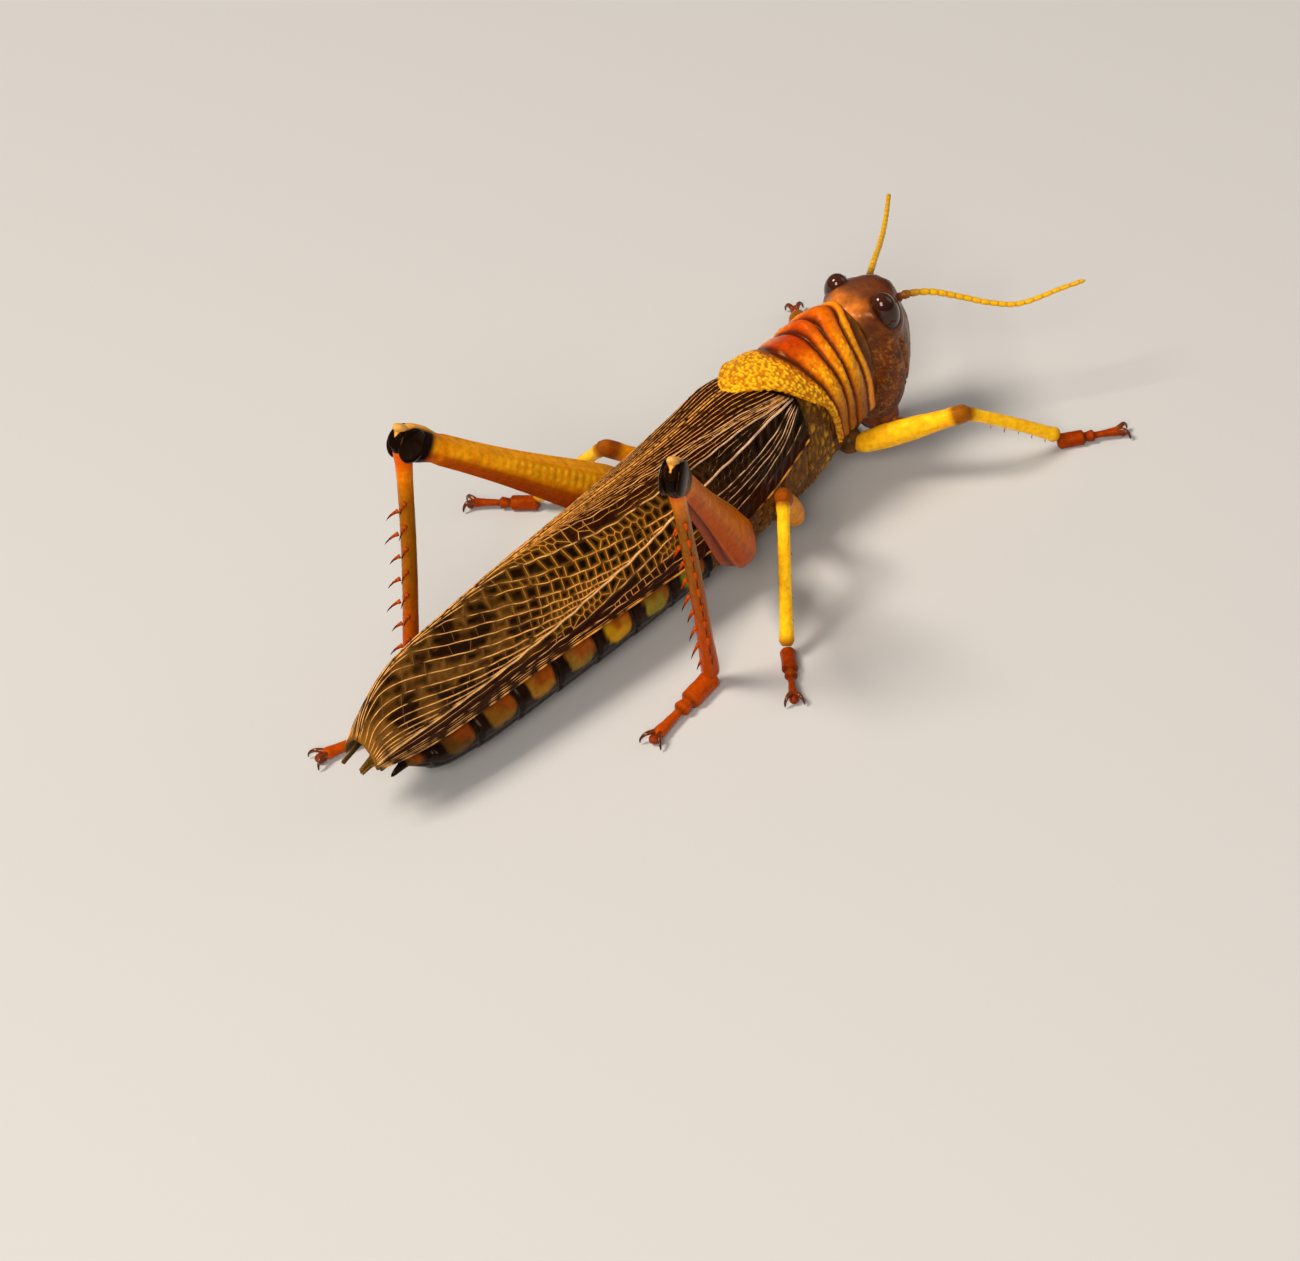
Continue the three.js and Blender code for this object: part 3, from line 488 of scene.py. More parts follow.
# Feeler cuticle: a dry horny skin with a low sheen.
feeler_finish = cuticle("dry_feeler_cuticle", 0.42, coat=0.1, grain_mm=0.15, bump=0.2, spread=0.12)
for label, route in ANTENNA_ROUTES.items():
    spots = smooth_route(route, FEELER_RODS * FEELER_RINGS)
    feeler = rod_skin(f"antenna_{label}_whip", spots, feeler_radius, 16, feeler_paint,
                      feeler_finish)
    stand_in(feeler, "antenna", f"antenna_{label}")

# ---------------------------------------------------------------- mouthparts
# Below the face hang the upper lip, a pair of black-toothed mandibles, the lower lip, and two
# pairs of jointed palps that feel the food. All of it is thin horny cuticle.

HORN, HORN_DARK, HORN_LIGHT = linear("#7c3814"), linear("#210c06"), linear("#c07c2c")


# Share along, height, front, back and half the width of the mouthparts, from the top down.
MOUTH_LEVELS = [
    (0.00, -15.4, -0.6, -0.6, 0.0), (0.08, -15.6, 1.8, -3.2, 3.4), (0.35, -16.8, 2.0, -3.1, 3.6),
    (0.60, -17.9, 1.8, -2.6, 3.2), (0.80, -18.9, 1.3, -2.0, 2.4), (0.93, -19.4, 0.6, -1.4, 1.5),
    (1.00, -19.5, -0.4, -0.4, 0.0),
]


def mouth_point(u, v):
    z, front, back, wide = between(MOUTH_LEVELS, v)
    angle = 2 * math.pi * u
    middle, depth = (front + back) / 2, (front - back) / 2
    point = Vector((middle + depth * math.cos(angle), wide * math.sin(angle), z))
    out = Vector((math.cos(angle), math.sin(angle), 0))
    lift = 0.22 * step(-18.2, -17.9, z) * step(0.2, 0.6, math.cos(angle))
    lift -= 0.28 * ridge(point.y, 0.18) * step(-16.6, -18.2, z)
    lift -= 0.2 * ridge(abs(point.y) - 2.6, 0.2)
    return (point + out * lift,)


def mouth_paint(u, v, point):
    tone = mixed(HORN, HORN_LIGHT, 0.5 * step(0.4, 1.6, point.x) * step(-18.2, -17.6, point.z))
    tone = mixed(tone, HORN_DARK, 0.85 * step(-17.8, -19.0, point.z))
    return mixed(tone, HORN_DARK, 0.6 * ridge(abs(point.y) - 2.6, 0.25))


# Mouth cuticle: hard brown horn with a dull polish, darkest at the biting edges.
horn_finish = cuticle("horny_mouth_cuticle", 0.34, coat=0.2, grain_mm=0.2, bump=0.15, spread=0.18)
mouth = grid_skin("lips_and_mandibles", 72, 48, mouth_point, mouth_paint, horn_finish)
stand_in(mouth, "mouthparts", "mouthparts")

# How many joints each kind of palp has, and its route on the left side.
PALPS = {
    "maxillary": (4, [(-0.8, 2.4, -17.0), (0.4, 4.7, -17.4), (2.0, 5.2, -18.4),
                      (2.8, 4.7, -20.2)]),
    "labial": (3, [(-1.6, 1.2, -17.6), (-2.2, 3.1, -18.8), (-1.0, 3.8, -20.4)]),
}
for kind, (joints, route) in PALPS.items():
    for label, side in SIDES:
        spots = smooth_route([(x, y * side, z) for x, y, z in route], joints * 9)

        def palp_radius(share):
            return 0.50 * (1 - 0.35 * joint_ring(share, joints, 0.16)) * (0.85 + 0.15 * share)

        def palp_paint(u, v, point):
            return mixed(HORN_LIGHT, HORN, 0.3 + 0.6 * joint_ring(v, joints, 0.2))

        palp = rod_skin(f"palp_{kind}_{label}", spots, palp_radius, 12, palp_paint, horn_finish)
        stand_in(palp, "mouthparts", "mouthparts")

# ---------------------------------------------------------------- pronotum
# The shield over the first body ring is one thick saddle of cuticle. Four furrows cut its front
# half into red-orange cushions, and the rear half is a golden plate as grainy as coarse sand.

PRONOTUM_GIRTH = -6.5      # height at which the shield is widest
LOBE_LOW = -0.50           # angle of the side lobe's lower edge, in radians from level

# Where the front rim, the furrows and the rear edge cross each angle, from the side lobe's
# lower edge to the ridge of the back.
FURROWS = [
    (-0.50, -4.9, -6.6, -9.3, -10.9, -12.2, -12.9),
    (-0.10, -5.4, -6.9, -9.6, -11.2, -13.0, -13.9),
    (0.28, -5.9, -7.2, -10.0, -11.4, -13.9, -15.2),
    (0.60, -6.2, -7.5, -10.0, -11.7, -14.5, -18.2),
    (0.80, -6.1, -7.5, -10.0, -11.9, -15.1, -19.8),
    (1.15, -5.4, -6.9, -9.9, -11.9, -15.7, -23.0),
    (1.40, -4.7, -6.1, -9.5, -11.8, -16.1, -25.2),
    (1.5708, -4.3, -5.8, -9.4, -11.8, -16.2, -26.0),
]
PLATE = 4      # number of the grainy rear plate; the rim is 0 and the cushions are 1 to 3
# Shares along the shield at which the rim, the furrows and the rear edge come.
SHIELD_SHARES = (0.0, 0.09, 0.26, 0.36, 0.54, 1.0)
# How high each of the five parts swells, how much of a crest it has, and how red that is.
SWELL_HEIGHTS = (0.25, 0.74, 0.72, 0.66, 0.24)
CREST_HEIGHTS = (0.5, 0.9, 0.8, 0.7, 0.18)
CREST_REDNESS = (0.0, 0.55, 0.85, 1.0)
# Place along, height of the back and half the width.
SHIELD_BACK = [
    (-4.0, 2.0, 5.3), (-8.0, 2.1, 6.0), (-11.0, 1.7, 6.4), (-13.8, 1.0, 6.7), (-16.2, 1.5, 7.0),
    (-18.6, 2.1, 7.15), (-21.5, 2.2, 7.2), (-26.5, 0.95, 7.2),
]


def shield_point(u, v):
    """A point of the shield, which of its five parts that is in and at what share, its angle up
    from level, and how grainy and how swollen it is there."""
    angle = LOBE_LOW + (math.pi - 2 * LOBE_LOW) * u
    folded = min(angle, math.pi - angle)
    lines = between(FURROWS, folded)
    k = 0
    while k < PLATE and v > SHIELD_SHARES[k + 1]:
        k += 1
    share = (v - SHIELD_SHARES[k]) / (SHIELD_SHARES[k + 1] - SHIELD_SHARES[k])
    x = lines[k] + (lines[k + 1] - lines[k]) * share
    top, wide = between(SHIELD_BACK, x)
    swell = min(1.0, 3.2 * share) ** 0.5 if k == PLATE else math.sin(math.pi * share) ** 0.55
    fade = 0.35 + 0.65 * step(-0.4, 0.5, folded)
    lift = SWELL_HEIGHTS[k] * (swell - 0.55) * fade
    crest = CREST_HEIGHTS[k] * swell * max(0.0, math.sin(angle)) ** 26
    edge = step(0.93, 1.0, v) * 0.22 + step(0.05, 0.0, u) * 0.25 + step(0.95, 1.0, u) * 0.25
    rise = math.sin(angle)
    half = top - PRONOTUM_GIRTH if rise > 0 else 10.0
    spot = Vector((x, (wide + 0.1) * power(math.cos(angle), 0.92), PRONOTUM_GIRTH + half * rise))
    out = Vector((0.0, math.cos(angle), rise)).normalized()
    if k == PLATE:
        cell = noise.voronoi(spot * 2.2)[0]
        grain = step(0.02, 0.14, share) * (0.19 * step(0.70, 0.22, cell[0]) - 0.06)
        lift -= 0.05 * noise.noise(spot * 0.7)
    else:
        cell = noise.voronoi(spot * 1.9)[0]
        grain = 0.10 * step(0.55, 0.1, cell[0]) * step(1.45, 0.9, folded) \
            + 0.04 * noise.noise(spot * 1.6)
    return spot + out * (lift + crest + edge + grain), k, share, folded, grain, swell


def give_wall(sheet, thick_mm):
    """Thickens a sheet inwards."""
    wall = sheet.modifiers.new("wall", "SOLIDIFY")
    wall.thickness = thick_mm * MM
    wall.offset = -1.0


CREST_RED, LOBE_RUST, LOBE_GOLD = linear("#c03c02"), linear("#f27c08"), linear("#f2a010")
FURROW_SHADE_PLUM, PLATE_GOLD, PLATE_DARK = linear("#3c120a"), linear("#ffc21c"), linear("#b0600a")
RIM_YELLOW, LOW_BROWN_AND_SHADE, UNDERSIDE_BROWN_AND_SHADE = linear("#e8a014"), linear("#9c500c"), linear("#6a380e")


def shield_paint(u, v, point, k, share, folded, grain, swell):
    if k == PLATE:
        tone = mixed(PLATE_DARK, PLATE_GOLD, 0.42 + 5.0 * grain)
        # Darker towards the lower edge: partly brown cuticle, partly painted shade.
        tone = mixed(tone, LOW_BROWN_AND_SHADE, 0.35 * step(0.45, -0.4, folded))
        tone = mixed(tone, LOBE_RUST, 0.6 * step(0.16, 0.0, share))
    elif k == 0:
        tone = mixed(LOBE_RUST, RIM_YELLOW, step(0.25, 0.7, share) * step(1.55, 1.1, folded) + 0.25)
    else:
        tone = mixed(LOBE_GOLD, LOBE_RUST,
                     step(0.45, 1.10, folded) + 0.7 * noise.noise(point * 1.3))
        tone = mixed(tone, CREST_RED, step(0.95, 1.45, folded) * CREST_REDNESS[k])
        tone = mixed(tone, PLATE_GOLD, 8.0 * grain * step(1.45, 0.8, folded))
        # Darker in the dents and towards the lower edge: partly brown cuticle, partly painted
        # shade.
        tone = mixed(tone, LOW_BROWN_AND_SHADE, 0.45 * step(0.0, -0.02, grain))
        tone = mixed(tone, UNDERSIDE_BROWN_AND_SHADE, 0.80 * step(0.70, -0.25, folded))
    # Towards each furrow the paint turns red and then dark plum: partly the furrows' own dark,
    # partly painted shade.
    tone = mixed(tone, CREST_RED, 0.5 * step(0.98, 0.70, swell))
    return mixed(tone, FURROW_SHADE_PLUM, 0.92 * step(0.84, 0.40, swell))


# Shield cuticle: thick, waxy and rough-cast. Worn grains catch the light one by one.
shield_finish = cuticle("grainy_shield_cuticle", 0.38, coat=0.04, grain_mm=0.22, bump=0.40,
                        sheen="#ffb040")
shield = grid_skin("pronotum_shield", 210, 170, shield_point, shield_paint, shield_finish)
give_wall(shield, 0.45)
stand_in(shield, "pronotum", "pronotum")

# The ring below the shield: softer chest skin from the neck to the second pair of legs. Place
# along, height of the top, half the width and height of the bottom.
CHEST_RINGS = [
    (-4.3, 1.6, 5.0, -14.6), (-8.0, 1.6, 5.6, -15.4), (-11.0, 1.1, 6.0, -16.2),
    (-13.8, 0.3, 6.2, -16.9),
]


def trunk_ring(rings, front_cap, rear_cap, v):
    """The ring of a closed trunk at a share along it: its place, its sizes, and how far it
    reaches out, which falls to 0 over the share that each cap takes."""
    along = min(1.0, max(0.0, (v - front_cap) / (1 - front_cap - rear_cap)))
    x = rings[0][0] + (rings[-1][0] - rings[0][0]) * along
    return x, between(rings, x), min(1.0, v / front_cap, (1 - v) / rear_cap)


def chest_point(u, v):
    x, (top, wide, low), reach = trunk_ring(CHEST_RINGS, 0.04, 0.04, v)
    angle = 2 * math.pi * u
    rise = math.sin(angle)
    half = top - PRONOTUM_GIRTH if rise > 0 else PRONOTUM_GIRTH - low
    square = 0.9 if rise > 0 else 0.6
    fold = 0.25 * math.cos(2 * math.pi * (x + 4.3) / 3.1) * step(0.2, -0.5, rise)
    y = (wide - 0.1) * power(math.cos(angle), square)
    point = Vector((x, y * reach, PRONOTUM_GIRTH + (half + fold) * power(rise, 0.95) * reach))
    return (point + Vector((0, math.cos(angle), rise)) * 0.07 * noise.noise(point * 1.9) * reach,)


CHEST_BROWN, CHEST_DARK = linear("#7e4a16"), linear("#2a1408")


def chest_paint(u, v, point):
    tone = mixed(CHEST_BROWN, CHEST_DARK, step(0.1, 0.6, 0.5 + noise.noise(point * 0.6)) * 0.6)
    # A band just below the shield's lower edge is painted dark as the shield's shadow.
    return mixed(tone, CHEST_DARK, step(-12.5, -11.4, point.z) * step(-9.0, -11.4, point.z))


# Chest skin: matt and a little leathery, with short creases.
chest_finish = cuticle("leathery_chest_cuticle", 0.55, coat=0.03, grain_mm=0.35, bump=0.4,
                       spread=0.28, ior=1.3)
chest = grid_skin("prothorax_chest", 96, 60, chest_point, chest_paint, chest_finish)
stand_in(chest, "pronotum", "pronotum")

# ---------------------------------------------------------------- rear thorax
# The wing-bearing part of the body is a box of rough golden-brown plates, parted by slanting
# seams above each leg and covered with short tawny hair.

THORAX_RINGS = [
    (-13.9, -0.2, 6.0, -17.0), (-17.0, 0.1, 6.5, -17.8), (-20.0, 0.0, 6.7, -18.2),
    (-24.0, -0.2, 6.9, -18.8), (-29.0, -0.4, 7.0, -19.2), (-34.0, -0.8, 6.8, -19.4),
    (-37.4, -1.4, 6.4, -19.4),
]
BODY_GIRTH = 0.36      # share of the height at which the box is widest
PLATE_SEAMS = (-19.2, -24.4, -28.2, -33.4)      # where the seams cross the flank


def thorax_point(u, v):
    """A point of the rear thorax, how deep in a seam it is and how far from a pucker's edge."""
    x, (top, wide, low), reach = trunk_ring(THORAX_RINGS, 0.03, 0.03, v)
    angle = 2 * math.pi * u
    rise = math.sin(angle)
    middle = low + (top - low) * BODY_GIRTH
    half = top - middle if rise > 0 else middle - low
    point = Vector((x, wide * power(math.cos(angle), 0.9) * reach, middle + half * rise * reach))
    out = Vector((0, math.cos(angle), rise))
    flank = step(0.15, 0.6, abs(math.cos(angle)))
    seams = sum(ridge(x - s - 0.16 * (point.z + 11), 0.24) for s in PLATE_SEAMS)
    puckers = noise.voronoi(point * 0.95)[0]
    lift = -0.34 * seams * flank + 0.20 * step(0.05, 0.5, puckers[1] - puckers[0])
    lift += 0.16 * noise.noise(point * 0.5) + 0.06 * noise.noise(point * 2.4)
    return point + out * (lift - 0.1) * reach, seams * flank, puckers[1] - puckers[0]


TAWNY, OCHRE, DARK_MOTTLE_AND_SHADE = linear("#5e3810"), linear("#a06c1c"), linear("#1e1008")
HAIR_STRAW = linear("#c79a4a")


def thorax_paint(u, v, point, seam, pucker):
    tone = mixed(TAWNY, OCHRE, step(0.1, 0.7, pucker) * (0.55 + 0.7 * noise.noise(point * 0.8)))
    # Darker in the seams and in the creases between the puckers: partly dark sutures, partly
    # painted shade.
    tone = mixed(tone, DARK_MOTTLE_AND_SHADE, 0.8 * step(0.3, 1.0, seam) + 0.45 * step(0.12, 0.0, pucker))
    tone = mixed(tone, PLATE_GOLD, 0.4 * step(-20.0, -15.0, point.x) * step(0.15, 0.6, pucker))
    # Where the fore wings lie over the thorax, it is painted near black as their shadow.
    wing_shadow = step(-7.5, -5.0, point.z) * step(-18.0, -19.5, point.x)
    return mixed(tone, DARK_MOTTLE_AND_SHADE, 0.92 * wing_shadow)


thorax = grid_skin("rear_thorax_plates", 150, 130, thorax_point, thorax_paint, chest_finish)
stand_in(thorax, "thorax", "thorax")


def painted_bmesh():
    """An empty bmesh with the layer that holds its paint."""
    bm = bmesh.new()
    return bm, bm.verts.layers.float_color.new("Paint")


# Tawny body hair: short stiff bristles, pale, translucent and glossy in life, drawn as slender
# three-sided spikes of opaque straw.
hair_finish = cuticle("tawny_body_hair", 0.45, grain_mm=0.1, bump=0.0, spread=0.1)
HAIR_COUNT = 800
HAIR_LENGTH, HAIR_WIDTH = 0.75, 0.07      # in millimetres
HAIR_OUT = 0.42      # share of its length from the skin to its middle, so that its root is sunk in
draw = random.Random(11)
roots = []
while len(roots) < HAIR_COUNT:
    u, v = draw.random(), draw.uniform(0.05, 0.95)
    point, seam, pucker = thorax_point(u, v)
    if point.z < -5.5 and seam < 0.4:
        angle = 2 * math.pi * u
        roots.append((at(*point), Vector((-0.5, math.cos(angle), math.sin(angle) - 0.2))))
draw = random.Random(5)
bm, layer = painted_bmesh()
for root, lean in roots:
    size = HAIR_LENGTH * draw.uniform(0.6, 1.15) * MM
    way = (lean + Vector([draw.uniform(-0.35, 0.35) for k in range(3)])).normalized()
    turn = way.to_track_quat("Z", "Y").to_matrix().to_4x4()
    bmesh.ops.create_cone(
        bm, cap_ends=True, cap_tris=True, segments=3, radius1=HAIR_WIDTH * MM / 2, radius2=0.0,
        depth=size, matrix=Matrix.Translation(root + way * size * HAIR_OUT) @ turn)
for vert in bm.verts:
    vert[layer] = HAIR_STRAW
thorax_hair = mesh_object("thorax_hair", bm, hair_finish)
stand_in(thorax_hair, "thorax", "thorax")

# ---------------------------------------------------------------- abdomen
# Seven telescoping rings of glossy black horn, each edge riding over the next. A blurred patch
# of orange to yellow-green sits low on the side of every ring; at the end are the digging valves.

# Place along, height of the top, half the width above and below, and height of the bottom.
ABDOMEN_RINGS = [
    (-37.4, -1.8, 5.0, 6.2, -19.6), (-50.0, -2.6, 4.9, 6.3, -20.0), (-58.0, -3.2, 4.6, 6.2, -20.0),
    (-66.0, -4.2, 4.1, 6.0, -19.9), (-74.0, -5.6, 3.4, 5.7, -19.8), (-79.0, -7.2, 2.8, 5.3, -19.4),
    (-83.0, -9.4, 2.4, 4.6, -18.6), (-86.4, -11.4, 1.5, 2.6, -16.2),
]
ABDOMEN_GIRTH = -15.0      # height at which the rings are widest
RING_FRONT = -37.7         # where the first ring starts
RING_LENGTH = 6.6
PATCH_MIDDLE = (0.47, -13.9)      # share of its ring and height at which each patch sits
PATCH_HALF = (0.36, 2.5)
PATCH_POWER = 2.6                 # between a round patch, 2, and a square one
PATCH_TINTS = [linear(h) for h in (
    "#7a7c22", "#867822", "#b8880c", "#846420", "#8e6216", "#765014", "#523610")]


def abdomen_point(u, v):
    """A point of the abdomen, the ring it is on and its share along that ring."""
    x, (top, upper, lower, low), reach = trunk_ring(ABDOMEN_RINGS, 0.01, 0.03, v)
    angle = 2 * math.pi * u
    rise = math.sin(angle)
    half = top - ABDOMEN_GIRTH if rise > 0 else ABDOMEN_GIRTH - low
    wide = lower + (upper - lower) * step(0.0, 0.3, rise)
    ring = (RING_FRONT - x) / RING_LENGTH
    share = ring - math.floor(ring)
    lift = -0.30 + 0.34 * step(0.0, 0.10, share) + 0.12 * share - 0.16 * step(0.96, 1.0, share)
    lift -= 0.22 * ridge(rise + 0.42, 0.07) * step(0.06, 0.12, share)
    point = Vector((x, wide * power(math.cos(angle), 0.9) * reach,
                    ABDOMEN_GIRTH + half * rise * reach))
    lift += 0.04 * noise.noise(point * 1.3)
    return point + Vector((0, math.cos(angle), rise)) * lift * reach, int(ring), share


PITCH, TAR, PATCH_RUST = linear("#110a07"), linear("#22140c"), linear("#8e3e10")


def abdomen_paint(u, v, point, ring, share):
    tone = mixed(PITCH, TAR, 0.5 + 0.9 * noise.noise(point * 0.7))
    ring = min(len(PATCH_TINTS) - 1, max(0, ring))
    across = (share - PATCH_MIDDLE[0]) / PATCH_HALF[0]
    down = (point.z - PATCH_MIDDLE[1]) / PATCH_HALF[1]
    blot = (abs(across) ** PATCH_POWER + abs(down) ** PATCH_POWER) ** (1 / PATCH_POWER)
    blot += 0.16 * noise.noise(point * 0.9 + Vector((3, 0, 0))) + 0.08 * noise.noise(point * 3.0)
    patch = step(1.0, 0.78, blot)
    warm = step(-0.45, 0.35, down - 0.5 * across + 0.6 * noise.noise(point * 0.8))
    tint = mixed(PATCH_TINTS[ring], PATCH_RUST, 0.9 * warm)
    return mixed(tone, tint, patch)


# Abdomen cuticle: thin, smooth and oily black, so the edge of each ring shines.
abdomen_finish = cuticle("oily_black_cuticle", 0.42, coat=0.05, grain_mm=0.35, bump=0.20,
                         sheen="#946438", ior=1.25)
abdomen = grid_skin("abdomen_rings", 96, 260, abdomen_point, abdomen_paint, abdomen_finish)
stand_in(abdomen, "abdomen", "abdomen")


def horn_tip(name, route, thick, sides, colours, material):
    """A curved, tapering point: thick at its root, sharp at its end."""
    return rod_skin(name, smooth_route(route, 16),
                    lambda share: thick * (1 - share) ** 0.7 + 0.03, sides,
                    lambda u, v, point: mixed(colours[0], colours[1], v), material)


# The short feelers of the tail and the digging valves: route on the left side and thickness.
TAIL_POINTS = {
    "cercus": ([(-82.8, 1.7, -12.3), (-85.6, 2.1, -12.2), (-87.2, 2.2, -12.2)], 0.62),
    "upper_valve": ([(-83.6, 1.0, -13.7), (-87.2, 1.0, -13.3), (-89.0, 0.9, -12.6)], 1.0),
    "lower_valve": ([(-83.6, 1.0, -15.4), (-87.0, 1.0, -16.1), (-88.6, 0.9, -16.6)], 1.0),
}
for label, side in SIDES:
    for part, (route, thick) in TAIL_POINTS.items():
        spots = [(x, y * side, z) for x, y, z in route]
        tip = horn_tip(f"{part}_{label}", spots, thick, 12, (TAR, PITCH), abdomen_finish)
        stand_in(tip, "abdomen", "abdomen")

# ---------------------------------------------------------------- fore wings
# The folded fore wings are narrow leathery blades. Strong veins stand up from the membrane;
# between them a net of thin cross veins frames dark hollow cells, more open towards the tip.

# Place along, height of the back, half the width of the flat strip, half the width of the flank
# and height of the lower edge.
WING_ROWS = [
    (-17.0, 0.6, 3.4, 6.6, -6.6), (-21.0, 1.0, 3.4, 7.0, -8.4), (-27.0, 1.7, 3.3, 7.4, -10.6),
    (-33.0, 1.1, 2.9, 7.6, -11.8), (-40.0, 0.6, 2.4, 7.5, -12.1), (-48.0, 0.45, 1.75, 7.2, -12.0),
    (-56.0, 0.4, 1.2, 6.8, -12.0), (-66.0, 0.1, 0.7, 6.0, -12.2), (-76.0, -0.9, 0.6, 5.2, -12.7),
    (-83.0, -1.8, 0.6, 4.5, -13.0), (-87.0, -3.4, 0.7, 4.0, -12.8), (-90.0, -6.2, 0.9, 3.4, -12.5),
    (-91.8, -9.2, 1.4, 2.9, -12.3), (-94.0, -10.8, 1.8, 2.6, -12.1),
]
STRIP_SHARE = 0.18      # share across at which the flat strip of the back ends
WAVER = 0.0036          # share across by which a vein wavers, in two waves of these lengths in mm
WAVE_LONG, WAVE_SHORT = 4.7, 3.1
WING_ROOT, WING_TIP = -18.8, -91.8
WING_LENGTH, WING_BREADTH = 71.0, 15.0      # of the unrolled blade, in millimetres
WING_WALL = 0.40


def wing_face(x, share):
    """A point of the left wing's outer face; share 0 is on the midline, 1 the lower edge."""
    top, strip, half, low = between(WING_ROWS, x)
    if share <= STRIP_SHARE:
        out = share / STRIP_SHARE
        return Vector((x, 0.15 + (strip - 0.15) * out, top - 0.5 * out * out))
    down = (share - STRIP_SHARE) / (1 - STRIP_SHARE)
    bow = 0.9 * math.sin(math.pi * down) * min(1.0, (half - strip) / 4)
    return Vector((x, strip + (half - strip) * down + bow, top - 0.5 + (low - top + 0.5) * down))


# The shield's section where the wings come out from under it: its middle, height and half width.
HOOD_MIDDLE, HOOD_HIGH, HOOD_WIDE = -6.8, 9.0, 7.2
HOOD_EDGE = [(row[0], row[-1]) for row in FURROWS]


def wing_front(share):
    """Where the wing comes out from under the shield."""
    spot = wing_face(WING_ROOT, share)
    angle = math.atan2(spot.z - HOOD_MIDDLE, spot.y * HOOD_HIGH / HOOD_WIDE)
    edge = between(HOOD_EDGE, max(angle, LOBE_LOW))[0]
    return min(edge, WING_ROOT) + 0.2


def wing_facing(x, share):
    """Which way the left wing's outer face looks."""
    across = wing_face(x, min(1.0, share + 0.02)) - wing_face(x, max(0.0, share - 0.02))
    along = wing_face(x + 1, share) - wing_face(x - 1, share)
    out = across.cross(along).normalized()
    return out if out.y + out.z > 0 else -out


def wing_frame(s, share):
    """A point of the left wing's outer face, s along and share across, and which way it faces."""
    front = wing_front(share)
    x = front + (WING_TIP - front) * s
    return wing_face(x, share), wing_facing(x, share)


def read_vein(vein, s):
    """A vein's share across at a place along it; every vein wavers a little in its own way."""
    share = between(vein, s)[0]
    phase = 61 * vein[0][0] + 83 * vein[0][1]
    turns = 2 * math.pi * s * WING_LENGTH
    waver = math.sin(turns / WAVE_SHORT + phase) + 0.7 * math.sin(turns / WAVE_LONG - phase)
    room = (0.45 + 0.55 * step(0.16, 0.34, s)) * step(0.95, 0.60, s)
    return share + WAVER * waver * room * min(1.0, 14 * share, 14 * (1 - share))


# The strong veins as (s along, share across). The radius is the main one: it leaves the root
# hollow and runs near the lower edge. Its branches bend away to the upper edge, one by one.
RADIUS = [(0.0, 0.40), (0.07, 0.42), (0.13, 0.455), (0.21, 0.475), (0.33, 0.56), (0.42, 0.64),
          (0.52, 0.70), (0.61, 0.755), (0.73, 0.785), (0.84, 0.788), (0.94, 0.79), (1.0, 0.80)]
SUBCOSTA = [(0.0, 0.43), (0.025, 0.465), (0.05, 0.52), (0.075, 0.56), (0.13, 0.60), (0.21, 0.62),
            (0.33, 0.67), (0.41, 0.74), (0.49, 0.80), (0.57, 0.86), (0.66, 0.89), (0.80, 0.90),
            (1.0, 0.90)]
COSTA = [(0.0, 0.50), (0.02, 0.58), (0.05, 0.69), (0.09, 0.76), (0.15, 0.81), (0.25, 0.85),
         (0.40, 0.90), (0.60, 0.945), (1.0, 0.95)]
FORK_VEIN = [(0.0, 0.46), (0.03, 0.54), (0.06, 0.63), (0.10, 0.675), (0.16, 0.70), (0.24, 0.73),
             (0.34, 0.79), (0.44, 0.85), (0.52, 0.89)]
MARGIN = [(0.0, 0.99), (1.0, 0.99)]
CUBITUS = [(0.0, 0.365), (0.07, 0.35), (0.13, 0.335), (0.22, 0.33), (0.35, 0.335), (0.42, 0.34),
           (0.48, 0.31), (0.53, 0.275), (0.58, 0.235), (0.63, 0.16), (0.69, 0.03)]
ANAL = [(0.0, 0.325), (0.07, 0.295), (0.13, 0.262), (0.19, 0.242), (0.30, 0.228), (0.42, 0.215),
        (0.52, 0.15), (0.62, 0.02)]
FOLD = [(0.0, 0.285), (0.07, 0.25), (0.13, 0.225), (0.19, 0.19), (0.30, 0.18), (0.42, 0.15),
        (0.56, 0.02)]
HINGE = [(0.0, 0.004), (1.0, 0.004)]
STRIP_PALE = 0.3      # how pale the fine lines of the back strip are, from golden to cream
SHOULDER_PALE = 0.6   # and those between the root veins
ROOT_START = 0.01     # where the finer root veins come out of the hollow
# How brown the thin bars are: those of the net, the strip's wrinkles and the shoulder's folds.
NET_DIM, WRINKLE_DIM, FOLD_DIM = 0.42, 0.75, 0.74
BRANCHES = [
    [(0.24, 0.495), (0.33, 0.50), (0.42, 0.475), (0.49, 0.43), (0.56, 0.37), (0.60, 0.325),
     (0.65, 0.23), (0.74, 0.03)],
    [(0.34, 0.565), (0.43, 0.56), (0.50, 0.52), (0.56, 0.455), (0.60, 0.395), (0.64, 0.32),
     (0.69, 0.24), (0.79, 0.03)],
]
BRANCH_REACH = 0.42      # share of the wing's length that a branch takes to the upper edge
for k in range(13):
    leave = 0.415 + 0.041 * k
    base = between(RADIUS, leave)[0]
    end = min(1.0, leave + BRANCH_REACH)
    BRANCHES.append([(s, base + (0.02 - base) * ((s - leave) / BRANCH_REACH) ** 1.8)
                     for s in [leave + (end - leave) * i / 12 for i in range(13)]])


def ring_centre(a, b, c):
    """The middle of the circle through three points, or None where they lie in a line."""
    (ax, ay), (bx, by), (cx, cy) = a, b, c
    double = 2 * (ax * (by - cy) + bx * (cy - ay) + cx * (ay - by))
    if abs(double) < 1e-9:
        return None
    a2, b2, c2 = ax * ax + ay * ay, bx * bx + by * by, cx * cx + cy * cy
    return ((a2 * (by - cy) + b2 * (cy - ay) + c2 * (ay - by)) / double,
            (a2 * (cx - bx) + b2 * (ax - cx) + c2 * (bx - ax)) / double)


